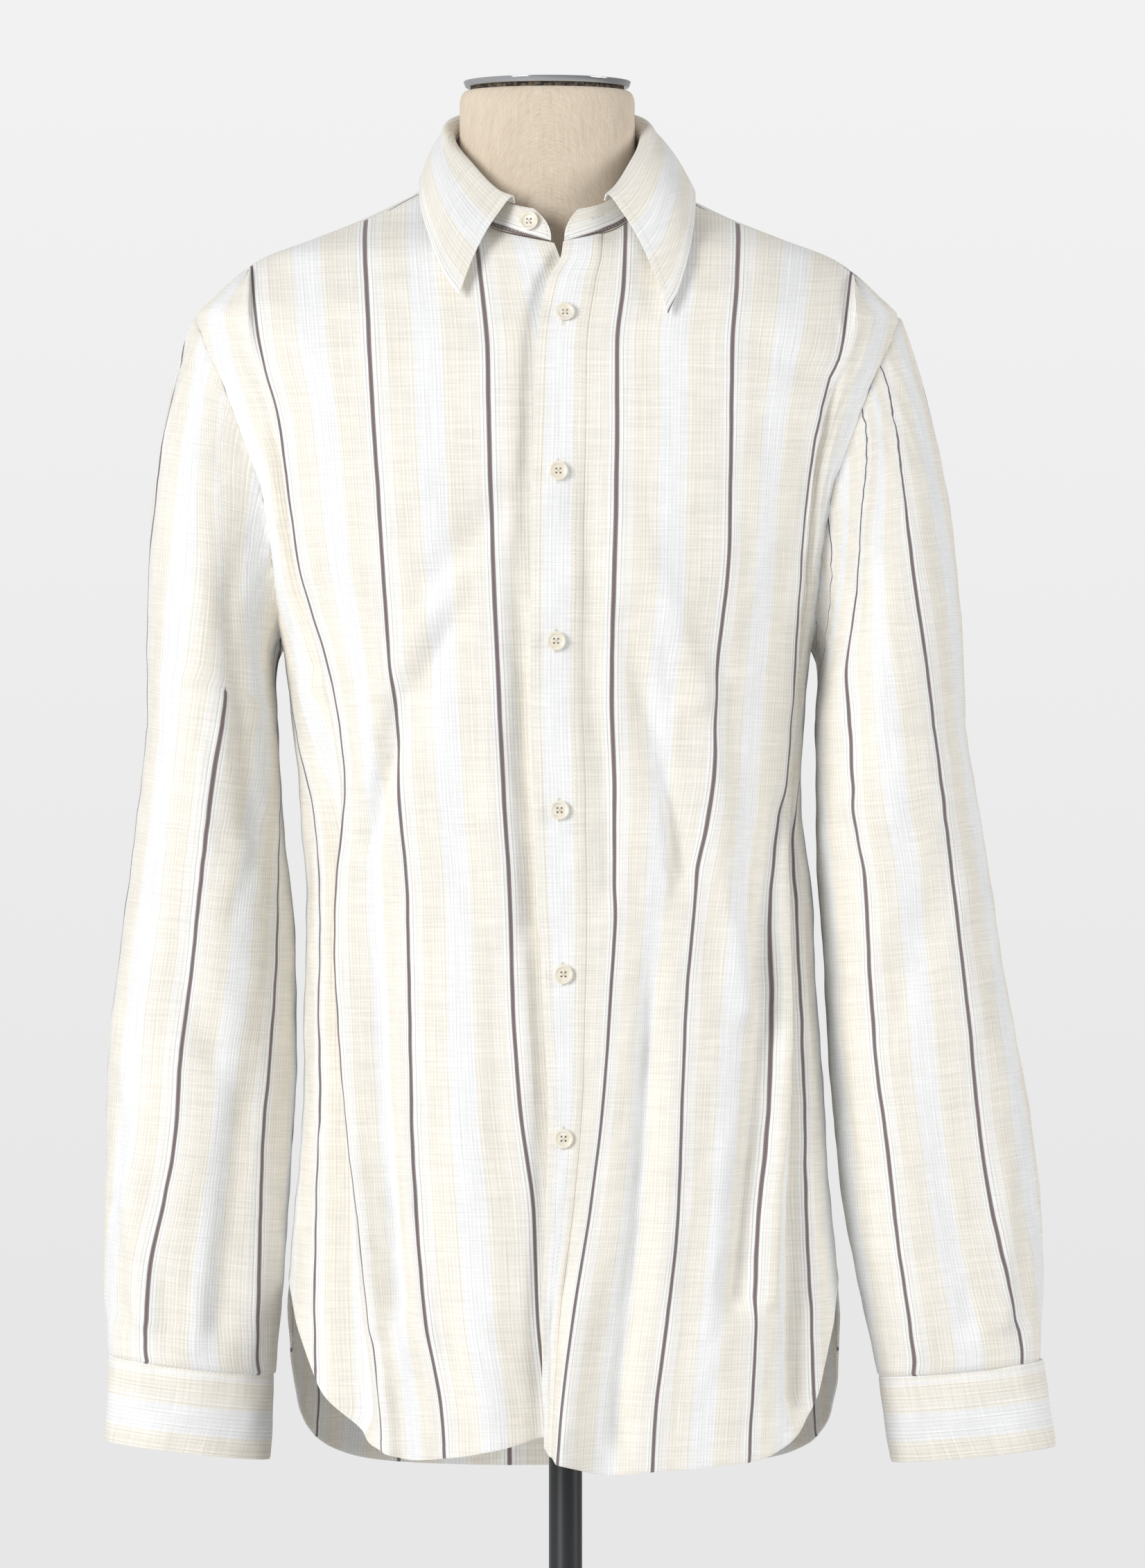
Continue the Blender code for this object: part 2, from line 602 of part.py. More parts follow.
def cuff_grid(side, around=26, rows=3):
    """Band whose outer end laps over its inner end."""
    turn = CUFF_OPENING + np.linspace(0, 2 * np.pi + CUFF_LAP, around + 1)
    lift = LAP_OUT * ease((turn - turn[-1] + 1.25) / 0.7)
    grid = []
    for share in np.arange(rows + 1) / rows:
        middle = mix(*CUFF_MIDDLE[side], share)
        x = middle - side * (CUFF_HALF + lift) * np.cos(turn)
        y = -0.002 - (CUFF_DEPTH + 0.004 * (1 - share) + lift) * np.sin(turn)
        z = mix(*CUFF_HEIGHT[side], share) + SLEEVE_TILT[side] * (x - middle)
        grid.append(np.stack((x, y, z), -1))
    return np.array(grid).transpose(1, 0, 2)


# Collar
STAND_ENDS = ((-3.9, -15.0), (2.9, 12.0))
LEAF_ENDS = (-26.4, 31.6)


def stand_top(angle, grow=0.0, height="stand"):
    return ring_point(angle, 0.0555 + grow, 0.0005, 0.067 + grow, 0.0665 + grow, height)


def round_neck(start, end, count):
    """Angles from the right front end round the back to the left front end."""
    angles = np.linspace(start, end - 360, count + 1)
    return np.where(angles < -180, angles + 360, angles)


def stand_grid(count=30, rows=3):
    (low_start, high_start), (low_end, high_end) = STAND_ENDS
    low = neck_point(round_neck(low_start, low_end, count)) + np.array((0, 0, STAND_RAISE))
    high = stand_top(round_neck(high_start, high_end, count))
    share = (np.arange(rows + 1) / rows)[:, None, None]
    return mix(low, high, share).transpose(1, 0, 2)


def leaf_grid(count=32, rows=6):
    """Collar leaf: from the stand's top over the crest and down to its outer edge."""
    angle = round_neck(*LEAF_ENDS, count)
    base = stand_top(angle) + np.array((0, 0, LEAF_RAISE))
    crest = stand_top(angle, 0.0042, "crest")
    s = np.abs(np.linspace(-1, 1, count + 1))
    half = count // 2
    edge = np.empty(base.shape)
    for side, part in ((-1, slice(0, half + 1)), (1, slice(half, count + 1))):
        for i, name in enumerate("xyz"):
            edge[part, i] = at(LEAF_EDGE[side], name, 1 - s[part], "s")
    lines = [base, mix(base, crest, 0.6) - np.array((0, 0, -0.0016)), crest]
    out = edge - crest
    for share in (np.arange(rows) + 1) / rows:
        bow = mix(share, 1 - (1 - share) ** 3, 0.35)
        lines.append(np.stack((
            crest[:, 0] + out[:, 0] * bow,
            crest[:, 1] + out[:, 1] * bow,
            crest[:, 2] + out[:, 2] * share,
        ), -1))
    return np.array(lines).transpose(1, 0, 2)


# Making objects
def clear_scene():
    for obj in list(bpy.data.objects):
        bpy.data.objects.remove(obj, do_unlink=True)
    part = bpy.data.collections.new("shirt_on_dress_form")
    bpy.context.scene.collection.children.link(part)
    return part


def material(name, colour, roughness, metallic=0.0):
    made = bpy.data.materials.new(name)
    made.use_nodes = True
    shader = made.node_tree.nodes["Principled BSDF"]
    shader.inputs["Base Color"].default_value = (*colour, 1)
    shader.inputs["Roughness"].default_value = roughness
    shader.inputs["Metallic"].default_value = metallic
    return made


def keep(obj, finish):
    for collection in list(obj.users_collection):
        collection.objects.unlink(obj)
    PART.objects.link(obj)
    obj.data.materials.append(finish)
    return obj


def grid_faces(columns, rows, closed=False):
    faces = []
    for i in range(columns if closed else columns - 1):
        j = (i + 1) % columns
        for k in range(rows - 1):
            faces.append((i * rows + k, j * rows + k, j * rows + k + 1, i * rows + k + 1))
    return faces


def cloth(name, grid, finish, thickness=CLOTH, closed=False):
    """Cloth wall: an open surface through the grid, thickened evenly to both sides."""
    columns, rows = grid.shape[:2]
    mesh = bpy.data.meshes.new(name)
    mesh.from_pydata(grid.reshape(-1, 3).tolist(), [], grid_faces(columns, rows, closed))
    obj = keep(bpy.data.objects.new(name, mesh), finish)
    mesh.shade_smooth()
    wall = obj.modifiers.new("Wall", "SOLIDIFY")
    wall.thickness = thickness
    wall.offset = 0
    return obj


def normals(grid, away_from):
    """Unit normals of a grid, pointing away from a vertical line."""
    across = np.gradient(grid, axis=0)
    along = np.gradient(grid, axis=1)
    normal = np.cross(across, along)
    normal /= np.linalg.norm(normal, axis=-1)[..., None]
    outward = grid[..., :2] - np.array(away_from)
    flip = np.sign((normal[..., :2] * outward).sum(-1))
    return normal * flip[..., None]


def trim(grid, left=0.0, right=0.0, bottom=0.0, top=0.0):
    """The grid with its edges drawn back along the cloth by half a seam gap."""
    out = grid.copy()
    for edge, inner, gap in ((0, 1, left), (-1, -2, right)):
        step = grid[inner] - grid[edge]
        out[edge] += step / np.linalg.norm(step, axis=-1)[:, None] * gap
    for edge, inner, gap in ((0, 1, bottom), (-1, -2, top)):
        step = grid[:, inner] - grid[:, edge]
        out[:, edge] += step / np.linalg.norm(step, axis=-1)[:, None] * gap
    return out


def between(grid, i, k):
    """Point of a grid at a fractional column and row."""
    a, b = int(i), int(k)
    low = mix(grid[a, b], grid[a + 1, b], i - a)
    return mix(low, mix(grid[a, b + 1], grid[a + 1, b + 1], i - a), k - b)


def facing(grid, i, k):
    """Normal of the grid's facet that starts at column i and row k, away from the axis."""
    normal = np.cross(grid[i + 1, k + 1] - grid[i, k], grid[i, k + 1] - grid[i + 1, k])
    return normal * np.sign(normal[1] * grid[i, k, 1])


def button(name, point, normal, wall):
    """Disc lying flat on cloth whose outer face is one wall thickness from its middle."""
    out = Vector(normal).normalized()
    place = Vector(point) + out * (wall + BUTTON_GAP + BUTTON_DEPTH / 2)
    bpy.ops.mesh.primitive_cylinder_add(
        vertices=16, radius=BUTTON_RADIUS, depth=BUTTON_DEPTH, location=place
    )
    disc = keep(bpy.context.object, MATT["button"])
    disc.name = name
    disc.data.name = name
    disc.rotation_mode = "QUATERNION"
    disc.rotation_quaternion = out.to_track_quat("Z", "Y")
    return disc


def turned(name, profile, finish, steps=40):
    """Screw a profile of (radius, height), run down its outer side, about the Z axis."""
    mesh = bpy.data.meshes.new(name)
    points = [(radius, 0, height) for radius, height in profile]
    mesh.from_pydata(points, [(i, i + 1) for i in range(len(points) - 1)], [])
    obj = keep(bpy.data.objects.new(name, mesh), finish)
    screw = obj.modifiers.new("Turn", "SCREW")
    screw.steps = screw.render_steps = steps
    screw.use_merge_vertices = True
    screw.merge_threshold = 0.0001
    return obj


# The garment
def build_panels():
    right_lines = np.concatenate((np.linspace(-0.016, 0.041, 5), np.linspace(0.059, 0.183, 6)))
    left_lines = np.concatenate((np.linspace(-0.016, 0.016, 4), np.linspace(0.0355, 0.1775, 8)))
    outer = np.linspace(0, 1, 6)[1:]
    left = front_grid(1, np.concatenate((left_lines, mix(0.1775, SIDE_SEAM, outer))))
    right_lines = np.concatenate((right_lines, mix(0.183, SIDE_SEAM, outer)))
    right = front_grid(-1, right_lines, left)
    back = back_grid(np.linspace(-SIDE_SEAM, SIDE_SEAM, 23))
    yoke = yoke_grid()
    cloth("front_right", trim(right, right=SEAM, top=3 * SEAM), MATT["cloth"])
    cloth("front_left", trim(left, right=SEAM, top=3 * SEAM), MATT["cloth"])
    cloth("back", trim(back, left=SEAM, right=SEAM, top=SEAM), MATT["cloth"])
    cloth("yoke", trim(yoke, SEAM, SEAM, 4 * SEAM, SEAM), MATT["cloth"])
    return right, left, back, yoke


def build_placket(left):
    """Band on the left front's free edge, and the six buttons on it."""
    strip = left[:4]
    lift = CLOTH + LAYER + 0.0001
    band = strip + normals(left, (AXIS, 0))[:4] * lift
    cloth("front_placket", band, MATT["cloth"])
    for number, height in enumerate(PLACKET_BUTTONS, 1):
        k = np.interp(height, band[1, :, 2], np.arange(band.shape[1]))
        button(f"button_{number}", between(band, 1.5, k), facing(band, 1, int(k)), CLOTH / 2)


def build_sleeve(side, right, left, back, yoke):
    name = "left" if side > 0 else "right"
    loop = armhole_loop(side, left if side > 0 else right, yoke, back)
    sleeve = sleeve_grid(side, loop)
    cloth(f"sleeve_{name}", sleeve, MATT["cloth"], closed=True)
    middle = np.mean([SLEEVE[side]["outer"][0], SLEEVE[side]["inner"][0]])
    columns = slice(12, 15)
    shell = np.concatenate((sleeve, sleeve[:1]))
    outward = normals(shell[:, -8:], (middle, -0.002))
    band = shell[columns, -8:] + outward[columns] * (CLOTH + LAYER + 0.0002)
    cloth(f"sleeve_placket_{name}", band, MATT["cloth"])
    cuff = cuff_grid(side)
    cloth(f"cuff_{name}", cuff, MATT["cuff"], CUFF_CLOTH)
    button(f"button_cuff_{name}", between(cuff, 24.5, 1.5), facing(cuff, 24, 1), CUFF_CLOTH / 2)


def build_collar():
    stand = stand_grid()
    cloth("collar_stand", stand, MATT["collar"], COLLAR_CLOTH)
    cloth("collar_leaf", leaf_grid(), MATT["collar"], COLLAR_CLOTH)
    button("button_stand", between(stand, 0.85, 1.5), facing(stand, 0, 1), COLLAR_CLOTH / 2)


# The dress form
def build_form():
    turn = np.arange(FORM_SIDES) / FORM_SIDES * 2 * np.pi
    rings = []
    for z, centre, half, front, back, power in zip(*FORM.values()):
        c, s = np.sin(turn), -np.cos(turn)
        x = centre + half * np.sign(c) * np.abs(c) ** (2 / power)
        y = np.where(s < 0, front, back) * np.sign(s) * np.abs(s) ** (2 / power)
        rings.append(np.stack((x, y, np.full(turn.shape, z)), -1))
    neck = np.stack((
        NECK_CENTRE[0] + NECK_RADIUS * np.sin(turn),
        NECK_CENTRE[1] - NECK_RADIUS * np.cos(turn),
        np.full(turn.shape, NECK_TOP),
    ), -1)
    grid = np.array(rings + [neck]).transpose(1, 0, 2)
    columns, rows = grid.shape[:2]
    faces = grid_faces(columns, rows, True)
    faces.append(tuple(i * rows for i in range(columns))[::-1])
    faces.append(tuple(i * rows + rows - 1 for i in range(columns)))
    mesh = bpy.data.meshes.new("form_torso")
    mesh.from_pydata(grid.reshape(-1, 3).tolist(), [], faces)
    keep(bpy.data.objects.new("form_torso", mesh), MATT["linen"])
    mesh.shade_smooth()


def build_stand():
    cap_z = NECK_TOP + LAYER + CAP_DEPTH / 2
    bpy.ops.mesh.primitive_cylinder_add(
        vertices=40, radius=CAP_RADIUS, depth=CAP_DEPTH, location=(*NECK_CENTRE, cap_z)
    )
    cap = keep(bpy.context.object, MATT["chrome"])
    cap.name = "neck_cap"
    edge = cap.modifiers.new("Edge", "BEVEL")
    edge.width, edge.segments = 0.0008, 2
    low, high = SOCKET_TOP + LAYER, FORM_BOTTOM - LAYER
    bpy.ops.mesh.primitive_cylinder_add(
        vertices=24, radius=POLE_RADIUS, depth=high - low, location=(0, 0, (low + high) / 2)
    )
    keep(bpy.context.object, MATT["pole"]).name = "form_pole"
    profile = (
        (0, SOCKET_TOP),
        (SOCKET_RADIUS - 0.002, SOCKET_TOP),
        (SOCKET_RADIUS, SOCKET_TOP - 0.002),
        (SOCKET_RADIUS, BASE_DEPTH + 0.004),
        (SOCKET_RADIUS + 0.006, BASE_DEPTH),
        (BASE_RADIUS - 0.004, BASE_DEPTH - 0.001),
        (BASE_RADIUS, BASE_DEPTH - 0.004),
        (BASE_RADIUS, 0.001),
        (BASE_RADIUS - 0.001, 0),
        (0, 0),
    )
    turned("form_base", profile, MATT["pole"])


PART = clear_scene()
MATT = {
    "cloth": material("striped_cotton", (0.86, 0.81, 0.70), 0.85),
    "cuff": material("cuff_cotton", (0.86, 0.81, 0.70), 0.82),
    "collar": material("collar_cotton", (0.87, 0.83, 0.73), 0.82),
    "button": material("button_resin", (0.88, 0.85, 0.76), 0.35),
    "linen": material("linen_cover", (0.50, 0.38, 0.26), 0.90),
    "chrome": material("chrome", (0.80, 0.80, 0.82), 0.12, 1.0),
    "pole": material("black_satin_steel", (0.02, 0.022, 0.026), 0.35, 0.6),
}
panels = build_panels()
build_placket(panels[1])
for wearer_side in (-1, 1):
    build_sleeve(wearer_side, *panels)
build_collar()
build_form()
build_stand()
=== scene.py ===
"""Striped cotton shirt on a linen dress form: the finished surfaces, the studio and the camera.

Metres, +Z up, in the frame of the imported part. The shirt's front faces -Y, and +X is the
wearer's left. Each cloth piece is drafted again from the same seams as its solid, finer.
"""

import math

import bpy
import numpy as np
from mathutils import Matrix, Vector


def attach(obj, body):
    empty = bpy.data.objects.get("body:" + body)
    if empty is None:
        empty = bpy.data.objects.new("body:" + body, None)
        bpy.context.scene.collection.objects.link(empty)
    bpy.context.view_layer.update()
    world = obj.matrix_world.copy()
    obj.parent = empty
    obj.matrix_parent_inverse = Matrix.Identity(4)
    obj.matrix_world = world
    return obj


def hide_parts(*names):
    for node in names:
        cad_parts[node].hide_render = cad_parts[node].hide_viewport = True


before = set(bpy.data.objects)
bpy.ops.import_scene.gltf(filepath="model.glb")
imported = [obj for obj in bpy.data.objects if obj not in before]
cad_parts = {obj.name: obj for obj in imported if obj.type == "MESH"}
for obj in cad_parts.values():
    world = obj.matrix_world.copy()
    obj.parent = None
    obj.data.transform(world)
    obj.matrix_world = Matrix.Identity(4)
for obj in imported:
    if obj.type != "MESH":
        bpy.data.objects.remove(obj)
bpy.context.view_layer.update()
bpy.ops.object.select_all(action="DESELECT")

# Studio: the photograph's level camera, a pale floor in a white room, a wide soft light
# from the viewer's left and a weaker one from the right
STUDIO_LENS = 190.9
CAMERA_PLACE = (0.0042, -5.0, 0.72)
ROOM_TOP, ROOM_BOTTOM = 0.89, 0.80
ROOM_LEFT, ROOM_RIGHT = 0.60, 0.28
HORIZON_LOW, HORIZON_HIGH = -0.06, 0.09
LIGHTS_AIM = (0, 0, 0.75)
FLOOR_SOLID, FLOOR_REACH = 0.5, 2.5

camera_data = bpy.data.cameras.new("studio_camera")
camera_data.sensor_width = 36.0
camera_data.lens = STUDIO_LENS
camera_data.clip_end = 60
camera = bpy.data.objects.new("studio_camera", camera_data)
camera.location = CAMERA_PLACE
camera.rotation_euler = (math.pi / 2, 0, 0)
bpy.context.scene.collection.objects.link(camera)
bpy.context.scene.camera = camera
bpy.context.scene.view_settings.view_transform = "Standard"


def wire(tree, kind, *inputs, **settings):
    """A node whose inputs are numbers, colours or other nodes' outputs, in their order."""
    made = tree.nodes.new("ShaderNode" + kind)
    for name, value in settings.items():
        setattr(made, name, value)
    for socket, value in zip(made.inputs, inputs):
        if isinstance(value, bpy.types.NodeSocket):
            tree.links.new(value, socket)
        elif value is not None:
            socket.default_value = value
    return made.outputs[0] if made.outputs else None


def maths(tree, operations):
    """A function for each named operation, which adds its math node and returns the output."""

    def adds(operation):
        return lambda *inputs: wire(tree, "Math", *inputs, operation=operation)

    return [adds(operation) for operation in operations.split()]


def banded(tree, place, stops):
    """Colour ramp along a place from 0 to 1, from rows of (place, colour)."""
    ramp = tree.nodes.new("ShaderNodeValToRGB")
    elements = ramp.color_ramp.elements
    while len(elements) < len(stops):
        elements.new(0.5)
    for element, (stop, _) in zip(elements, stops):
        element.position = stop
    for element, (_, colour) in zip(elements, stops):
        element.color = (*colour, 1)
    tree.links.new(place, ramp.inputs["Fac"])
    return ramp.outputs["Color"]


def tinted(tree, share, below, above, mode="MIX"):
    """Two colours mixed by a share."""
    made = tree.nodes.new("ShaderNodeMix")
    made.data_type = "RGBA"
    made.blend_type = mode
    share_and_colours = [made.inputs[number] for number in (0, 6, 7)]
    for socket, value in zip(share_and_colours, (share, below, above)):
        if isinstance(value, bpy.types.NodeSocket):
            tree.links.new(value, socket)
        else:
            socket.default_value = value if isinstance(value, float) else (*value, 1)
    return made.outputs[2]


room = bpy.data.worlds.new("white_room")
room.use_nodes = True
bpy.context.scene.world = room
tree = room.node_tree
tree.nodes.clear()
gaze = wire(tree, "TexCoord").node.outputs["Generated"]
towards = wire(tree, "SeparateXYZ", gaze).node.outputs
rise = wire(tree, "MapRange", towards["Z"], HORIZON_LOW, HORIZON_HIGH, ROOM_BOTTOM, ROOM_TOP)
falling = wire(tree, "MapRange", towards["X"], -1.0, 1.0, ROOM_LEFT, ROOM_RIGHT)
seen, lit = [wire(tree, "Background", (1, 1, 1, 1), strength) for strength in (rise, falling)]
wire(tree, "OutputWorld", wire(tree, "MixShader", wire(tree, "LightPath"), lit, seen))


def studio_light(name, place, size, power):
    data = bpy.data.lights.new(name, "AREA")
    data.shape = "RECTANGLE"
    data.size, data.size_y = size
    data.energy = power
    lamp = bpy.data.objects.new(name, data)
    lamp.location = place
    lamp.rotation_euler = (Vector(place) - Vector(LIGHTS_AIM)).to_track_quat("Z", "Y").to_euler()
    bpy.context.scene.collection.objects.link(lamp)


studio_light("window_light", (-2.55, -3.3, 1.45), (1.5, 2.2), 117)
studio_light("right_fill", (3.3, -0.8, 1.4), (1.6, 2.2), 54)

bpy.ops.mesh.primitive_circle_add(vertices=96, radius=FLOOR_REACH, fill_type="NGON")
floor = bpy.context.object
floor.name = "studio_floor"
paper = bpy.data.materials.new("pale_floor")
paper.use_nodes = True
tree = paper.node_tree
tree.nodes.clear()
from_middle = wire(tree, "TexCoord").node.outputs["Object"]
away = wire(tree, "VectorMath", from_middle, operation="LENGTH").node.outputs["Value"]
fading = wire(tree, "MapRange", away, FLOOR_SOLID, FLOOR_REACH - 0.1, 0.0, 1.0)
matte = wire(tree, "BsdfDiffuse", (0.80, 0.80, 0.80, 1))
clear = wire(tree, "BsdfTransparent")
wire(tree, "OutputMaterial", wire(tree, "MixShader", fading, matte, clear))
floor.data.materials.append(paper)

# Stand: a round steel base with a short flared socket, and the steel pole that carries the
# form. Both are turned, painted satin black; the pole slides into the socket and the form
BASE_RADIUS, BASE_DEPTH, BASE_EDGE = 0.150, 0.009, 0.0016
SOCKET_RADIUS, SOCKET_TOP, SOCKET_GAP, SOCKET_HOLE = 0.022, 0.040, 0.0006, 0.006
FLARE_WIDTH, FLARE_RISE = 0.006, 0.004
POLE_RADIUS, POLE_LOW, POLE_HIGH, POLE_EDGE = 0.010, 0.0345, 0.4697, 0.0008
PAINT, DUSTY_PAINT = (0.006, 0.008, 0.010), (0.012, 0.015, 0.018)


def cylinder(name, vertices, radius, low, high, middle=(0, 0)):
    """Upright cylinder between two heights, open in edit mode with nothing selected."""
    bpy.ops.mesh.primitive_cylinder_add(
        vertices=vertices, radius=radius, depth=high - low, location=(*middle, (low + high) / 2)
    )
    obj = bpy.context.object
    obj.name = obj.data.name = name
    bpy.ops.object.mode_set(mode="EDIT")
    bpy.ops.mesh.select_mode(type="FACE")
    bpy.ops.mesh.select_all(action="DESELECT")
    return obj


def pick(obj, test):
    """Selects, in edit mode, the faces whose normal's upward part passes the test."""
    bpy.ops.object.mode_set(mode="OBJECT")
    for part in (obj.data.vertices, obj.data.edges, obj.data.polygons):
        part.foreach_set("select", [False] * len(part))
    for face in obj.data.polygons:
        face.select = test(face.normal.z)
    bpy.ops.object.mode_set(mode="EDIT")
    bpy.ops.mesh.select_mode(type="FACE")


def bevelled(obj, width, segments, limit=30):
    """Leaves edit mode and rounds the edges that turn by more than the limit."""
    bpy.ops.object.mode_set(mode="OBJECT")
    edge = obj.modifiers.new("Edge", "BEVEL")
    edge.width, edge.segments, edge.limit_method = width, segments, "ANGLE"
    edge.angle_limit = math.radians(limit)
    bpy.ops.object.modifier_apply(modifier="Edge")


def finished(obj, finish, nodes, angle=40):
    """Brings the piece to the origin, shades it, and says what it is in the frame."""
    if bpy.context.mode != "OBJECT":
        bpy.ops.object.mode_set(mode="OBJECT")
    bpy.ops.object.select_all(action="DESELECT")
    obj.select_set(True)
    bpy.context.view_layer.objects.active = obj
    bpy.ops.object.transform_apply(location=True, rotation=True, scale=True)
    bpy.ops.object.shade_smooth_by_angle(angle=math.radians(angle))
    obj.select_set(False)
    obj.data.materials.clear()
    obj.data.materials.append(finish)
    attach(obj, "root")
    if nodes:
        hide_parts(*nodes)
    return obj


def surface_material(name, colour, roughness, metallic=0.0, coat=0.0, coat_roughness=0.1):
    """Principled material, and its tree and shader for the pattern nodes."""
    made = bpy.data.materials.new(name)
    made.use_nodes = True
    shader = made.node_tree.nodes["Principled BSDF"]
    shader.inputs["Base Color"].default_value = (*colour, 1)
    shader.inputs["Roughness"].default_value = roughness
    shader.inputs["Metallic"].default_value = metallic
    shader.inputs["Coat Weight"].default_value = coat
    shader.inputs["Coat Roughness"].default_value = coat_roughness
    return made, made.node_tree, shader


def bumped(tree, shader, heights, distance, strength):
    bump = tree.nodes.new("ShaderNodeBump")
    bump.inputs["Strength"].default_value = strength
    bump.inputs["Distance"].default_value = distance
    tree.links.new(heights, bump.inputs["Height"])
    tree.links.new(bump.outputs["Normal"], shader.inputs["Normal"])


def grain(tree, place, scale, detail=3.0, roughness=0.55, stretch=(1, 1, 1)):
    """Noise read at a place, stretched along its axes."""
    moved = wire(tree, "Mapping", place)
    moved.node.inputs["Scale"].default_value = stretch
    noise = tree.nodes.new("ShaderNodeTexNoise")
    noise.inputs["Scale"].default_value = scale
    noise.inputs["Detail"].default_value = detail
    noise.inputs["Roughness"].default_value = roughness
    tree.links.new(moved, noise.inputs["Vector"])
    return noise.outputs[0]


def speckle(tree, scale, detail):
    """Noise in the piece's own metres."""
    return grain(tree, wire(tree, "TexCoord").node.outputs["Object"], scale, detail)


def shaded(tree, shader, name, noise, *stops):
    """Noise through a colour ramp into one input of the shader."""
    tree.links.new(banded(tree, noise, stops), shader.inputs[name])


steel, tree, shader = surface_material("satin_black_paint", PAINT, 0.36, 0.0, 0.35, 0.22)
handled = speckle(tree, 14, 4.0)
shaded(tree, shader, "Roughness", handled, (0.0, (0.30,) * 3), (1.0, (0.46,) * 3))
shaded(tree, shader, "Base Color", handled, (0.35, PAINT), (0.85, DUSTY_PAINT))
bumped(tree, shader, speckle(tree, 900, 2.0), 0.00006, 0.5)

base = cylinder("stand_base", 128, BASE_RADIUS, 0, BASE_DEPTH)
pick(base, lambda up: up > 0.9)
bpy.ops.mesh.inset(thickness=BASE_RADIUS - SOCKET_RADIUS - FLARE_WIDTH)
bpy.ops.mesh.extrude_region_move(TRANSFORM_OT_translate={"value": (0, 0, FLARE_RISE)})
bpy.ops.transform.resize(value=(SOCKET_RADIUS / (SOCKET_RADIUS + FLARE_WIDTH),) * 2 + (1,))
bpy.ops.mesh.extrude_region_move(
    TRANSFORM_OT_translate={"value": (0, 0, SOCKET_TOP - BASE_DEPTH - FLARE_RISE)}
)
bpy.ops.mesh.inset(thickness=SOCKET_RADIUS - POLE_RADIUS - SOCKET_GAP)
bpy.ops.mesh.extrude_region_move(TRANSFORM_OT_translate={"value": (0, 0, -SOCKET_HOLE)})
bevelled(base, BASE_EDGE, 3, 32)
finished(base, steel, ["form_base"])

pole = cylinder("stand_pole", 64, POLE_RADIUS, POLE_LOW, POLE_HIGH)
for cut in np.linspace(POLE_LOW, POLE_HIGH, 7)[1:-1]:
    bpy.ops.mesh.select_all(action="SELECT")
    bpy.ops.mesh.bisect(plane_co=(0, 0, cut), plane_no=(0, 0, 1))
bevelled(pole, POLE_EDGE, 3)
finished(pole, steel, ["form_pole"])

# Dress form: a moulded, padded bust without limbs, under a tight cover of natural linen.
# The cover is drawn up over the rim of the neck, where its raw edge is tucked under the cap
FORM = (
    "z centre half front back power",
    (0.470, 0.000, 0.1120, 0.0830, 0.0870, 2.15),
    (0.485, 0.000, 0.1180, 0.0880, 0.0920, 2.15),
    (0.560, -0.001, 0.1200, 0.0890, 0.0930, 2.15),
    (0.640, -0.003, 0.1150, 0.0850, 0.0870, 2.15),
    (0.720, -0.008, 0.1190, 0.0880, 0.0880, 2.15),
    (0.800, -0.011, 0.1320, 0.0960, 0.0950, 2.15),
    (0.860, -0.011, 0.1460, 0.1000, 0.0980, 2.15),
    (0.920, -0.011, 0.1650, 0.0940, 0.0970, 2.1),
    (0.970, -0.011, 0.1830, 0.0790, 0.0890, 2.0),
    (1.000, -0.011, 0.1890, 0.0650, 0.0800, 1.8),
    (1.0115, -0.011, 0.1870, 0.0560, 0.0760, 1.6),
    (1.0235, -0.011, 0.1760, 0.0520, 0.0730, 1.5),
    (1.0338, -0.011, 0.1630, 0.0490, 0.0700, 1.5),
    (1.0450, -0.011, 0.1400, 0.0475, 0.0670, 1.5),
    (1.0530, -0.011, 0.1090, 0.0470, 0.0640, 1.6),
    (1.0572, -0.011, 0.0825, 0.0468, 0.0620, 1.8),
    (1.0615, -0.011, 0.0658, 0.0466, 0.0604, 2.0),
    (1.0680, -0.011, 0.0570, 0.0465, 0.0594, 2.0),
    (1.0850, -0.011, 0.0529, 0.0465, 0.0587, 2.0),
    (1.1200, -0.011, 0.0526, 0.0466, 0.0584, 2.0),
)
NECK_CENTRE = (-0.011, 0.006)
NECK_TOP, NECK_RIM_IN, NECK_RIM_UP = 1.1365, 0.0046, 0.0080
FORM_LINEN = (0.50, 0.395, 0.285)
LINEN_PITCH = 0.00145


def table(rows):
    """Columns of numbers under the names in the first row."""
    return dict(zip(rows[0].split(), np.array(rows[1:], float).T))


def mix(a, b, t):
    return a + (b - a) * t


def ease(value):
    """0 below 0, 1 above 1, and a smooth step between."""
    t = np.clip(value, 0, 1)
    return t * t * (3 - 2 * t)


def swept(start, end, leaving, arriving, t):
    """Cubic from start at t = 0 to end at t = 1, with its slope at both."""
    bend = t * (1 - t) ** 2 * leaving - t * t * (1 - t) * arriving
    return mix(start, end, t * t * (3 - 2 * t)) + bend


def smooth(value, xs, ys):
    """Smooth curve through the points that never runs past them."""
    step = np.diff(xs)
    slope = np.diff(ys) / step
    product = slope[:-1] * slope[1:]
    total = np.where(product > 0, slope[:-1] + slope[1:], 1)
    inner = np.where(product > 0, 2 * product / total, 0)
    tangent = np.concatenate((slope[:1], inner, slope[-1:]))
    k = np.clip(np.searchsorted(xs, value) - 1, 0, len(step) - 1)
    t = np.clip((value - xs[k]) / step[k], 0, 1)
    return swept(ys[k], ys[k + 1], step[k] * tangent[k], step[k] * tangent[k + 1], t)


def at(rows, name, value, key="z"):
    return smooth(np.asarray(value, float), rows[key], rows[name])


def unit(vectors):
    """The same directions, one metre long."""
    return vectors / np.maximum(np.linalg.norm(vectors, axis=-1), 1e-12)[..., None]


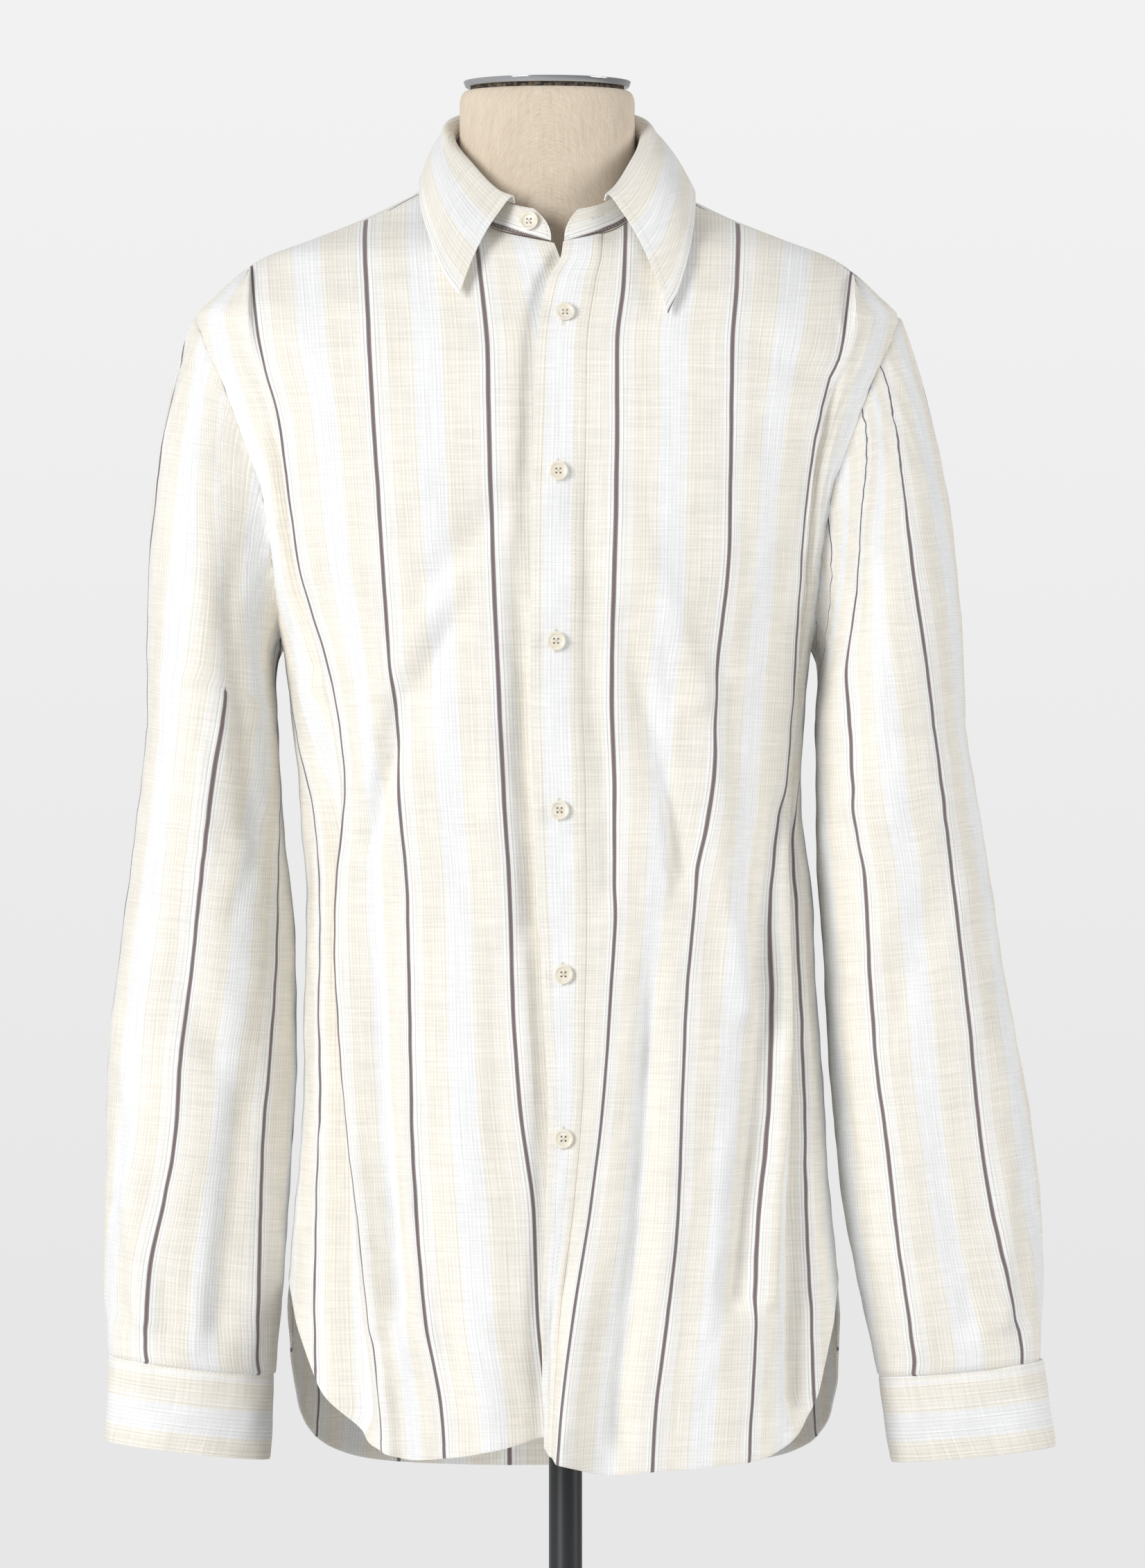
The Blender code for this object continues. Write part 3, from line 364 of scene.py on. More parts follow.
def reach_along(grid, axis=0):
    """Distance along a line, or along a grid from its first column or row."""
    steps = np.linalg.norm(np.diff(grid, axis=axis), axis=-1)
    start = np.zeros_like(np.take(steps, [0], axis=axis))
    return np.concatenate((start, np.cumsum(steps, axis=axis)), axis=axis)


def read_at(spots, run, line):
    """Points of a line at some distances of its run."""
    return np.stack([np.interp(spots, run, line[:, axis]) for axis in range(3)], -1)


def linked(name, points, faces):
    """A new object in the scene, from points and faces."""
    mesh = bpy.data.meshes.new(name)
    mesh.from_pydata(points.tolist(), [], faces)
    obj = bpy.data.objects.new(name, mesh)
    bpy.context.scene.collection.objects.link(obj)
    return obj


def woven_mesh(name, grid, across, along, ends=False, taken=None):
    """Mesh through a grid of points, with the cloth's own metres as its UV map.

    Where a tuck has taken cloth away, a face that crosses it shows the cloth on its near side.
    """
    columns, rows = grid.shape[:2]
    numbers = np.arange(columns * rows).reshape(columns, rows)
    turns = (numbers[:-1, :-1], numbers[1:, :-1], numbers[1:, 1:], numbers[:-1, 1:])
    corners = np.stack([turn.ravel() for turn in turns], -1)
    faces = corners.tolist()
    if ends:
        faces.append(numbers[:-1, 0][::-1].tolist())
        faces.append(numbers[:-1, -1].tolist())
    obj = linked(name, grid.reshape(-1, 3), faces)
    loops = np.empty(len(obj.data.loops), int)
    obj.data.loops.foreach_get("vertex_index", loops)
    places = np.stack((across.ravel()[loops], along.ravel()[loops]), -1)
    if taken is not None:
        shown = across.ravel()[corners]
        crossing = (shown.min(axis=1) < 0) & (shown.max(axis=1) > 0)
        beyond = crossing[:, None] & (shown > 0)
        places[:, 0] = np.where(beyond, shown - taken.ravel()[corners], shown).ravel()
    layer = obj.data.uv_layers.new(name="weave")
    layer.data.foreach_set("uv", places.ravel().astype(np.float32))
    return obj


def sewn_shut(obj):
    """Joins the first and last columns of a tube where they lie on each other."""
    bpy.context.view_layer.objects.active = obj
    obj.select_set(True)
    bpy.ops.object.mode_set(mode="EDIT")
    bpy.ops.mesh.select_all(action="SELECT")
    bpy.ops.mesh.remove_doubles(threshold=0.000002)
    bpy.ops.object.mode_set(mode="OBJECT")
    obj.select_set(False)


def rounded(part, reach, power):
    """One coordinate of a superellipse, from the cosine or sine of its angle."""
    return reach * np.sign(part) * np.abs(part) ** (2 / power)


form_rows = table(FORM)
turn = np.linspace(0, 2 * np.pi, 113)
aside, ahead = np.sin(turn), -np.cos(turn)
rings = []
for z in np.concatenate((np.linspace(0.4703, 0.99, 66), np.linspace(0.994, 1.118, 44))):
    half, power = at(form_rows, "half", z), at(form_rows, "power", z)
    x = at(form_rows, "centre", z) + rounded(aside, half, power)
    depth = np.where(ahead < 0, at(form_rows, "front", z), at(form_rows, "back", z))
    rings.append(np.stack((x, rounded(ahead, depth, power), z + 0 * x), -1))
last_ring = rings[-1]
outward = unit((last_ring - np.array((*NECK_CENTRE, 0))) * np.array((1, 1, 0)))
for bend in np.linspace(0, math.pi / 2, 12)[1:]:
    ring = last_ring - outward * NECK_RIM_IN * (1 - math.cos(bend))
    ring[:, 2] = NECK_TOP - NECK_RIM_UP + NECK_RIM_UP * math.sin(bend)
    rings.append(ring)
torso_grid = np.array(rings).transpose(1, 0, 2)
around = reach_along(torso_grid, 0)
around_waist = np.broadcast_to(around[:, 60:61], around.shape)
torso = woven_mesh("linen_form", torso_grid, around_waist, reach_along(torso_grid, 1), ends=True)
sewn_shut(torso)

linen, tree, shader = surface_material("form_linen", FORM_LINEN, 0.88)
times, add, sine, times_add = maths(tree, "MULTIPLY ADD SINE MULTIPLY_ADD")
thread_place = wire(tree, "UVMap", uv_map="weave")
split = wire(tree, "SeparateXYZ", thread_place).node.outputs
across_yarn = sine(times(split["X"], 2 * math.pi / LINEN_PITCH))
along_yarn = sine(times(split["Y"], 2 * math.pi / LINEN_PITCH))
slubs = grain(tree, thread_place, 1.0, 3.0, 0.6, (60, 900, 1))
slubs_up = grain(tree, thread_place, 1.0, 3.0, 0.6, (700, 50, 1))
slubbed = times_add(times(add(slubs, slubs_up), 0.6), 0.55, 0.24)
weave_height = times_add(times(across_yarn, along_yarn), 0.26, slubbed)
tone = banded(tree, weave_height, (
    (0.32, (0.38, 0.275, 0.180)), (0.44, (0.68, 0.54, 0.395)),
    (0.56, (0.87, 0.74, 0.59)), (0.72, (0.95, 0.88, 0.77)),
))
mottle = grain(tree, thread_place, 45, 4.0)
weathered = tinted(tree, mottle, (0.90, 0.88, 0.85), (1.06, 1.05, 1.04))
tree.links.new(tinted(tree, 1.0, tone, weathered, "MULTIPLY"), shader.inputs["Base Color"])
shader.inputs["Sheen Weight"].default_value = 0.12
bumped(tree, shader, weave_height, 0.00045, 0.8)
finished(torso, linen, ["form_torso"], 60)

# Cap of the form: a thin turned disc of polished chrome with an eased upper edge,
# standing on a narrower dark washer that pinches the raw edge of the linen
CAP_RADIUS, CAP_TOP, CAP_THICK, CAP_EDGE = 0.0505, 1.1428, 0.0038, 0.0007
CAP_FLAT, CAP_DOME, CAP_UNDER = 0.0022, 0.00002, 0.972
WASHER_RADIUS, WASHER_LOW, WASHER_HIGH = 0.0462, 1.1357, 1.1391

chrome, tree, shader = surface_material("polished_chrome", (0.60, 0.61, 0.63), 0.09, 1.0)
shaded(tree, shader, "Roughness", speckle(tree, 260, 3.0), (0.3, (0.06,) * 3), (0.8, (0.17,) * 3))
bumped(tree, shader, speckle(tree, 500, 2.0), 0.00002, 0.3)
cap = cylinder("chrome_cap", 128, CAP_RADIUS, CAP_TOP - CAP_THICK, CAP_TOP, NECK_CENTRE)
pick(cap, lambda up: up > 0.9)
bpy.ops.mesh.inset(thickness=CAP_FLAT)
bpy.ops.transform.translate(value=(0, 0, CAP_DOME))
pick(cap, lambda up: up < -0.9)
bpy.ops.transform.resize(value=(CAP_UNDER, CAP_UNDER, 1), center_override=(*NECK_CENTRE, 0))
bpy.ops.mesh.inset(thickness=CAP_RADIUS * CAP_UNDER - WASHER_RADIUS)
bevelled(cap, CAP_EDGE, 4)
finished(cap, chrome, ["neck_cap"])

felt, tree, shader = surface_material("dark_washer", (0.035, 0.030, 0.026), 0.9)
frayed = speckle(tree, 420, 4.0)
shaded(
    tree, shader, "Base Color", frayed, (0.42, (0.020, 0.018, 0.016)), (0.62, (0.16, 0.12, 0.085))
)
bumped(tree, shader, frayed, 0.0006, 1.0)
washer = cylinder("cap_washer", 96, WASHER_RADIUS, WASHER_LOW, WASHER_HIGH, NECK_CENTRE)
pick(washer, lambda up: abs(up) < 0.5)
bpy.ops.mesh.subdivide(number_cuts=2)
finished(washer, felt, [])

# Shirting: a light, slubby cotton woven with warp stripes, the same for every cloth piece.
# Each repeat has a dark chain-weave stripe between white lines, then ecru ribs and a pale
# blue-white band; the piece's UV map counts metres across and along the warp
REPEAT = 0.071
ECRU = (0.880, 0.850, 0.783)
WARM_ECRU = (0.872, 0.828, 0.738)
WHITE = (0.905, 0.900, 0.885)
BLUE_WHITE = (0.880, 0.888, 0.886)
GREY_LINE = (0.600, 0.590, 0.580)
CHAIN_DARK = (0.120, 0.086, 0.088)
CHAIN_LIGHT = (0.50, 0.44, 0.43)
CHAIN_HALF = 1.25
STRIPES = (
    (-35.5, BLUE_WHITE), (-28.4, BLUE_WHITE), (-28.0, WHITE), (-27.4, WHITE), (-27.0, ECRU),
    (-20.0, WARM_ECRU), (-11.0, ECRU), (-5.2, ECRU), (-4.7, WHITE), (-3.5, WHITE),
    (-3.3, GREY_LINE), (-3.0, WHITE), (-1.5, WHITE), (-CHAIN_HALF, CHAIN_DARK),
    (CHAIN_HALF, CHAIN_DARK), (1.5, WHITE), (3.7, WHITE), (4.0, GREY_LINE), (4.3, WHITE),
    (5.3, WHITE), (5.8, ECRU), (9.2, WHITE), (9.8, ECRU), (15.0, WARM_ECRU), (22.0, ECRU),
    (26.6, ECRU), (27.0, WHITE), (27.6, BLUE_WHITE), (35.5, BLUE_WHITE),
)
COTTON_WALL, HEM_WALL, FOLDED_EDGE = 0.0009, 0.0014, 0.55
CHAIN_PITCH, WEFT_PITCH = 0.0024, 0.0011

cotton, tree, shader = surface_material("striped_cotton", ECRU, 0.86)
times, add, less, over, times_add, sine, size, part = maths(
    tree, "MULTIPLY ADD SUBTRACT DIVIDE MULTIPLY_ADD SINE ABSOLUTE FRACT"
)
place = wire(tree, "UVMap", uv_map="weave")
split = wire(tree, "SeparateXYZ", place).node.outputs
wander = grain(tree, place, 1.0, 2.0, 0.5, (90, 35, 1))
across = add(split["X"], times_add(wander, 0.0006, -0.0003))
phase = part(add(over(across, REPEAT), 0.5))
stripes = banded(tree, phase, [((mm / 1000 / REPEAT) + 0.5, colour) for mm, colour in STRIPES])
offset = size(times(less(phase, 0.5), REPEAT * 1000))
link = size(sine(times(split["Y"], 2 * math.pi / CHAIN_PITCH)))
braid = less(1.0, wire(tree, "MapRange", size(less(offset, link)), 0.10, 0.34, 0.0, 1.0))
in_chain = wire(tree, "MapRange", offset, CHAIN_HALF - 0.1, CHAIN_HALF + 0.15, 1.0, 0.0)
chained = tinted(tree, times(braid, in_chain), stripes, CHAIN_LIGHT)
rib_tone = banded(tree, part(over(across, REPEAT / 10)), (
    (0.0, (0.50,) * 3), (0.42, (0.50,) * 3), (0.455, (0.64,) * 3), (0.50, (0.64,) * 3),
    (0.53, (0.385, 0.38, 0.37)), (0.575, (0.385, 0.38, 0.37)),
    (0.61, (0.50,) * 3), (1.0, (0.50,) * 3),
))
fine_rib = sine(times(across, 2 * math.pi * 30 / REPEAT))
picks = grain(tree, place, 1.0, 3.0, 0.65, (28, 1150, 1))
yarns = grain(tree, place, 1.0, 3.0, 0.6, (1300, 22, 1))
cloudy = grain(tree, place, 22, 3.0)
woven = times_add(fine_rib, 0.022, times_add(picks, 0.30, times(yarns, 0.22)))
mottled = add(woven, times_add(cloudy, 0.10, 0.19))
grey = wire(tree, "CombineXYZ", mottled, mottled, mottled)
ribbed = tinted(tree, 1.0, rib_tone, grey, "LINEAR_LIGHT")
soft = tinted(tree, in_chain, ribbed, (0.5, 0.5, 0.5))
lighter = wire(tree, "VectorMath", soft, (0.72, 0.72, 0.72), operation="MULTIPLY")
gain = wire(tree, "VectorMath", lighter, (0.64, 0.64, 0.64), operation="ADD")
tree.links.new(tinted(tree, 1.0, chained, gain, "MULTIPLY"), shader.inputs["Base Color"])
weft = sine(times(split["Y"], 2 * math.pi / WEFT_PITCH))
crepe = times_add(weft, 0.10, times_add(fine_rib, 0.16, times(braid, times(in_chain, 0.9))))
bumped(tree, shader, times_add(picks, 1.1, times_add(yarns, 0.9, crepe)), 0.00028, 0.75)
shader.inputs["Sheen Weight"].default_value = 0.18
shader.inputs["Sheen Roughness"].default_value = 0.5


def normals(grid, away_from, up=0.0):
    """Unit normals of a grid, pointing away from a vertical line, and up where it lies flat."""
    normal = unit(np.cross(np.gradient(grid, axis=0), np.gradient(grid, axis=1)))
    outward = (normal[..., :2] * (grid[..., :2] - np.array(away_from))).sum(-1) + up * normal[..., 2]
    return normal * np.where(outward < 0, -1, 1)[..., None]


def cloth_piece(name, grid, across, along, node, wall=COTTON_WALL, taken=None):
    """A cut piece of shirting: its surface thickened, where the wall may vary over the piece.

    A piece with cloth taken away in a tuck is a sleeve, which is a tube.
    """
    obj = woven_mesh(name, grid, across, along, taken=taken)
    if taken is not None:
        sewn_shut(obj)
    solid = obj.modifiers.new("Wall", "SOLIDIFY")
    solid.offset = 0
    solid.thickness = float(np.max(wall))
    if np.ndim(wall):
        group = obj.vertex_groups.new(name="wall")
        share = np.round(wall / np.max(wall), 3).ravel()
        for level in np.unique(share):
            group.add(np.nonzero(share == level)[0].tolist(), float(level), "REPLACE")
        solid.vertex_group = "wall"
    bpy.context.view_layer.objects.active = obj
    obj.select_set(True)
    bpy.ops.object.modifier_apply(modifier="Wall")
    return finished(obj, cotton, [node], 62)


def thinned(grid, wall):
    """Wall of a band that is folded at all its edges, which are pinched."""
    walls = np.full(grid.shape[:2], wall * FOLDED_EDGE)
    walls[1:-1, 1:-1] = wall
    return walls


# Thread: cotton sewing thread, two lines in each placket and one along every other edge.
# A stitch is a small bead, flattened and pulled into the cloth, laid end to end
STITCH_PITCH, STITCH_SIZE = 0.0026, (0.0019, 0.00036, 0.00030)
thread, tree, shader = surface_material("cotton_thread", (0.80, 0.76, 0.67), 0.62)
twisted = speckle(tree, 2600, 2.0)
shaded(tree, shader, "Base Color", twisted, (0.35, (0.62, 0.57, 0.48)), (0.7, (0.84, 0.80, 0.72)))
bumped(tree, shader, twisted, 0.00008, 0.6)

bpy.ops.mesh.primitive_uv_sphere_add(segments=6, ring_count=4, radius=0.5)
bead = bpy.context.object
BEAD_POINTS = np.array([tuple(v.co) for v in bead.data.vertices])
BEAD_FACES = [tuple(face.vertices) for face in bead.data.polygons]
bpy.data.objects.remove(bead, do_unlink=True)


def laid_thread(name, runs, lift, pitch=STITCH_PITCH, size=STITCH_SIZE, finish=thread):
    """Beads along each run of (points, normals), a pitch apart."""
    points, faces = [], []
    for line, out in runs:
        run = reach_along(line)
        spots = np.arange(pitch / 2, run[-1], pitch)
        tail, tip = (read_at(spots + half * size[0], run, line) for half in (-0.5, 0.5))
        normal = read_at(spots, run, out)
        ahead = unit(tip - tail)
        beside = unit(np.cross(normal, ahead))
        middle = (tail + tip) / 2 + normal * lift
        for centre, *axes in zip(middle, ahead, beside, np.cross(ahead, beside)):
            start = len(points) * len(BEAD_POINTS)
            points.append(centre + BEAD_POINTS @ (np.array(axes) * np.array(size)[:, None]))
            faces += [[start + corner for corner in face] for face in BEAD_FACES]
    return finished(linked(name, np.concatenate(points), faces), finish, [], 80)


def line_in(grid, out, axis, last, distance, keep=slice(None)):
    """Run across a grid at a distance from one of its edges: the first or last of an axis."""
    if not axis:
        grid, out = grid.transpose(1, 0, 2), out.transpose(1, 0, 2)
    if last:
        grid, out = grid[:, ::-1], out[:, ::-1]
    rows = list(zip(reach_along(grid, 1), grid, out))
    points = np.array([read_at(distance, run, line) for run, line, _ in rows])
    facing = np.array([read_at(distance, run, line) for run, _, line in rows])
    return points[keep], facing[keep]


def stitched(name, grid, out, wall, *edges):
    """Stitches on the outside of a wall, along each (axis, last, distance, keep) of a grid."""
    runs = [line_in(grid, out, *edge) for edge in edges]
    return laid_thread(f"{name}_stitches", runs, wall / 2)


# Fronts: two mirrored cuts, each from a free front edge to the side seam and up to the neckline
# and the front yoke seam. The left laps over the right; both end in a curved, twice-turned hem
POWER, AXIS, UNDERARM, SIDE_SEAM = 2.3, -0.011, 0.800, 0.290
PLACKET_LIFT, UNDER_LAP, FRONT_LEAN = 0.0012, 0.0048, 0.007
JUNCTION, YOKE_SPREAD = 78.0, 0.115
# Rings of the neck: half width, middle, and reach in front and behind
NECK_RING, STAND_RING = (0.066, 0.004, 0.074, 0.074), (0.0555, 0.0005, 0.067, 0.0665)
HEM_DEPTH, HEM_FOLD, HEM_SHARE, HEM_ROWS = 0.0065, 0.0006, 0.0180, 9
SECTIONS = table((
    "z centre half front back",
    (0.290, 0.0010, 0.1700, 0.120, 0.130),
    (0.350, 0.0000, 0.1680, 0.118, 0.128),
    (0.410, -0.0010, 0.1655, 0.115, 0.125),
    (0.470, -0.0015, 0.1600, 0.113, 0.121),
    (0.530, -0.0010, 0.1560, 0.111, 0.118),
    (0.590, -0.0030, 0.1535, 0.110, 0.116),
    (0.650, -0.0035, 0.1515, 0.110, 0.115),
    (0.700, -0.0085, 0.1500, 0.111, 0.114),
    (0.760, -0.0105, 0.1535, 0.114, 0.114),
    (0.800, -0.0110, 0.1580, 0.117, 0.115),
    (0.840, -0.0110, 0.1700, 0.1195, 0.116),
    (0.900, -0.0110, 0.1900, 0.119, 0.116),
    (0.945, -0.0110, 0.2060, 0.112, 0.113),
    (0.975, -0.0110, 0.2105, 0.103, 0.107),
    (1.000, -0.0110, 0.2110, 0.091, 0.098),
    (1.0145, -0.0110, 0.1980, 0.084, 0.092),
    (1.0265, -0.0110, 0.1850, 0.077, 0.088),
    (1.0365, -0.0110, 0.1700, 0.072, 0.085),
    (1.0470, -0.0110, 0.1420, 0.061, 0.082),
    (1.0605, -0.0110, 0.1080, 0.042, 0.080),
    (1.0800, -0.0110, 0.0660, 0.027, 0.078),
))
SHOULDER = table((
    "out z",
    (0.0500, 1.0860),
    (0.0660, 1.0795),
    (0.1080, 1.0597),
    (0.1420, 1.0462),
    (0.1700, 1.0355),
    (0.1850, 1.0255),
    (0.1980, 1.0135),
    (0.2112, 0.9990),
))
# Where the woven warp lines lie across each front at each height, 71 mm apart on the cloth
WARP_NAMES = ("edge", "first", "second", "third")
WARP_AT = {-1: (-0.016, 0.041, 0.112, 0.183), 1: (-0.016, 0.0355, 0.1065, 0.1775)}
WARP = {-1: table((
    "z edge first second third",
    (0.300, 0.0140, -0.0080, -0.0700, -0.1050),
    (0.346, 0.0140, -0.0100, -0.0724, -0.1074),
    (0.407, 0.0160, -0.0162, -0.0826, -0.1148),
    (0.468, 0.0180, -0.0186, -0.0879, -0.1209),
    (0.529, 0.0190, -0.0264, -0.0907, -0.1278),
    (0.590, 0.0170, -0.0308, -0.0920, -0.1319),
    (0.651, 0.0145, -0.0325, -0.0932, -0.1340),
    (0.713, 0.0120, -0.0361, -0.0985, -0.1300),
    (0.774, 0.0105, -0.0390, -0.1026, -0.1370),
    (0.855, 0.0105, -0.0427, -0.1079, -0.1590),
    (0.937, 0.0125, -0.0451, -0.1132, -0.1700),
    (0.977, 0.0115, -0.0459, -0.1156, -0.1815),
    (1.018, 0.0015, -0.0500, -0.1181, -0.1873),
    (1.032, -0.0032, -0.0515, -0.1190, -0.1890),
    (1.045, -0.0085, -0.0530, -0.1195, -0.1905),
)), 1: table((
    "z edge first second third",
    (0.300, -0.0125, -0.0060, 0.0500, 0.1070),
    (0.346, -0.0125, -0.0031, 0.0527, 0.1097),
    (0.407, -0.0142, 0.0042, 0.0600, 0.1130),
    (0.468, -0.0113, 0.0140, 0.0661, 0.1171),
    (0.529, -0.0105, 0.0217, 0.0682, 0.1240),
    (0.590, -0.0131, 0.0262, 0.0710, 0.1270),
    (0.651, -0.0163, 0.0295, 0.0763, 0.1260),
    (0.713, -0.0189, 0.0295, 0.0845, 0.1309),
    (0.774, -0.0206, 0.0275, 0.0877, 0.1360),
    (0.855, -0.0206, 0.0290, 0.0963, 0.1400),
    (0.937, -0.0186, 0.0303, 0.0979, 0.1500),
    (0.977, -0.0173, 0.0303, 0.0983, 0.1640),
    (1.018, -0.0100, 0.0344, 0.1016, 0.1709),
    (1.032, -0.0024, 0.0350, 0.1022, 0.1735),
    (1.045, -0.0007, 0.0355, 0.1030, 0.1765),
))}
HEM = table((
    "u right left back",
    (-0.016, 0.3385, 0.3300, 0.300),
    (0.0355, 0.3375, 0.3220, 0.300),
    (0.075, 0.3290, 0.3140, 0.301),
    (0.112, 0.3235, 0.3160, 0.303),
    (0.150, 0.3220, 0.3180, 0.307),
    (0.183, 0.3265, 0.3205, 0.314),
    (0.215, 0.3360, 0.3280, 0.326),
    (0.245, 0.3560, 0.3480, 0.350),
    (0.268, 0.3860, 0.3840, 0.386),
    (0.290, 0.4220, 0.4220, 0.422),
))
ARMHOLE = table((
    "z front back",
    (0.800, 0.000, 0.000),
    (0.820, 0.030, 0.032),
    (0.840, 0.044, 0.047),
    (0.870, 0.056, 0.060),
    (0.900, 0.061, 0.066),
    (0.930, 0.058, 0.065),
    (0.960, 0.048, 0.058),
    (0.985, 0.028, 0.040),
    (1.000, 0.004, 0.004),
))
COLLAR = table((
    "angle seam stand crest",
    (0, 1.0400, 1.0590, 1.0640),
    (30, 1.0480, 1.0650, 1.0700),
    (60, 1.0660, 1.0880, 1.0945),
    (90, 1.0810, 1.1060, 1.1140),
    (135, 1.0870, 1.1190, 1.1270),
    (180, 1.0900, 1.1235, 1.1310),
))
# Folds, listed one by one: their ends on the cloth, then width and depth, where a ridge is above zero
FOLD_NAMES = "u0 z0 u1 z1 width depth"
FOLDS = {-1: table((
    FOLD_NAMES,
    (0.027, 0.889, 0.087, 0.834, 0.010, -0.0060),
    (0.045, 0.857, 0.150, 0.690, 0.012, -0.0070),
    (0.038, 0.870, 0.100, 0.790, 0.010, 0.0030),
    (0.024, 0.860, 0.024, 0.640, 0.010, -0.0055),
    (0.046, 0.800, 0.050, 0.640, 0.012, 0.0035),
    (0.205, 0.960, 0.222, 0.790, 0.011, -0.0070),
    (0.222, 0.760, 0.216, 0.350, 0.017, -0.0190),
    (0.148, 0.660, 0.145, 0.420, 0.013, -0.0080),
    (0.184, 0.700, 0.178, 0.400, 0.010, 0.0050),
    (0.075, 0.560, 0.080, 0.330, 0.020, 0.0060),
    (0.176, 0.380, 0.176, 0.310, 0.009, 0.0060),
)), 1: table((
    FOLD_NAMES,
    (0.017, 0.900, 0.031, 0.660, 0.010, -0.0060),
    (0.043, 0.814, 0.094, 0.670, 0.012, -0.0080),
    (0.040, 0.879, 0.096, 0.773, 0.011, 0.0050),
    (0.096, 0.773, 0.150, 0.590, 0.012, 0.0060),
    (0.118, 0.980, 0.180, 0.960, 0.007, -0.0030),
    (0.200, 0.950, 0.220, 0.790, 0.011, -0.0070),
    (0.075, 0.640, 0.078, 0.340, 0.013, -0.0090),
    (0.172, 0.700, 0.165, 0.420, 0.012, -0.0100),
    (0.195, 0.680, 0.195, 0.420, 0.011, 0.0040),
    (0.236, 0.760, 0.230, 0.360, 0.013, -0.0110),
    (0.038, 0.440, 0.036, 0.280, 0.018, 0.0140),
    (0.038, 0.360, 0.036, 0.280, 0.018, 0.0110),
)), 0: table((
    FOLD_NAMES,
    (-0.090, 0.880, -0.060, 0.400, 0.016, -0.0080),
    (0.080, 0.900, 0.075, 0.420, 0.016, -0.0080),
    (-0.020, 0.760, 0.005, 0.330, 0.018, 0.0060),
    (-0.170, 0.860, -0.150, 0.380, 0.015, -0.0100),
    (0.165, 0.840, 0.155, 0.400, 0.015, -0.0100),
    (-0.120, 0.600, -0.110, 0.320, 0.015, 0.0060),
    (0.120, 0.620, 0.118, 0.320, 0.015, 0.0060),
    (-0.236, 0.740, -0.228, 0.400, 0.013, -0.0080),
    (0.236, 0.740, 0.228, 0.400, 0.013, -0.0080),
))}
# Smaller creases of the same three panels, too fine for the solids
CREASES = {-1: table((
    FOLD_NAMES,
    (0.060, 0.905, 0.100, 0.868, 0.006, -0.0016),
    (0.070, 0.800, 0.128, 0.735, 0.006, 0.0018),
    (0.150, 0.440, 0.168, 0.449, 0.004, -0.0018),
    (0.120, 0.560, 0.118, 0.400, 0.007, 0.0016),
    (0.100, 0.470, 0.098, 0.345, 0.006, -0.0014),
    (0.012, 0.560, 0.020, 0.430, 0.006, 0.0012),
    (0.052, 0.640, 0.056, 0.500, 0.006, -0.0014),
    (0.200, 0.560, 0.196, 0.400, 0.006, 0.0016),
    (0.255, 0.700, 0.250, 0.520, 0.006, -0.0016),
    (0.232, 0.930, 0.240, 0.860, 0.005, 0.0016),
    (0.180, 0.985, 0.196, 0.940, 0.006, -0.0014),
)), 1: table((
    FOLD_NAMES,
    (0.055, 0.850, 0.078, 0.770, 0.006, -0.0014),
    (0.066, 0.730, 0.080, 0.660, 0.006, 0.0018),
    (0.112, 0.715, 0.140, 0.640, 0.006, -0.0016),
    (0.100, 0.560, 0.100, 0.420, 0.007, 0.0016),
    (0.120, 0.460, 0.122, 0.345, 0.006, -0.0014),
    (0.140, 0.520, 0.140, 0.400, 0.006, 0.0014),
    (0.210, 0.560, 0.206, 0.420, 0.005, -0.0014),
    (0.232, 0.930, 0.240, 0.850, 0.005, 0.0018),
    (0.190, 0.900, 0.204, 0.830, 0.006, 0.0016),
    (0.150, 0.950, 0.196, 0.925, 0.006, 0.0014),
    (0.060, 0.420, 0.058, 0.340, 0.006, -0.0014),
)), 0: table((
    FOLD_NAMES,
    (-0.040, 0.700, -0.036, 0.520, 0.007, -0.0016),
    (0.040, 0.640, 0.044, 0.430, 0.007, -0.0016),
    (-0.200, 0.700, -0.196, 0.540, 0.006, 0.0016),
    (0.200, 0.720, 0.195, 0.560, 0.006, 0.0016),
    (-0.140, 0.930, -0.170, 0.880, 0.007, -0.0016),
    (0.140, 0.925, 0.172, 0.870, 0.007, -0.0016),
    (0.010, 0.560, 0.014, 0.380, 0.007, 0.0014),
    (-0.100, 0.470, -0.096, 0.350, 0.006, -0.0014),
))}
# Light unevenness of the woven cloth: turns per metre across and along, phase and height
CRINKLE = (
    (31, 9, 1.3, 0.00022),
    (-23, 17, 0.4, 0.00018),
    (47, -29, 2.2, 0.00010),
    (11, 41, 5.0, 0.00012),
)
FOLD_START, FOLD_RISE = 0.4, 0.3
PUCKER_WIDE, PUCKER_PITCH, PUCKER_HIGH = 0.009, 0.0135, 0.0004
FRONT_LOW, FRONT_HIGH = 128, 56
FRONT_TOP, FRONT_BLEND = 1.045, 0.06
LAP_COLUMNS = 34
# Height above which the armhole cuts into a front, and the run over which it tells
ARMHOLE_FROM, ARMHOLE_RUN = 0.68, 0.10
SEAM_STITCH, HEM_STITCH = 0.008, 0.0056


def crinkle(u, z):
    waves = (high * np.sin(2 * np.pi * (a * u + b * z) + phase) for a, b, phase, high in CRINKLE)
    return sum(waves)


def puckered(u, z):
    """Small puckers that the armhole seam draws into the panel beside it."""
    near = np.exp(-(((SIDE_SEAM - np.abs(u)) / PUCKER_WIDE) ** 2)) * ease((z - UNDERARM) / 0.02)
    wave = 2 * np.pi * z / PUCKER_PITCH + 1.5 * np.sin(z * 90)
    return PUCKER_HIGH * near * np.sin(wave)


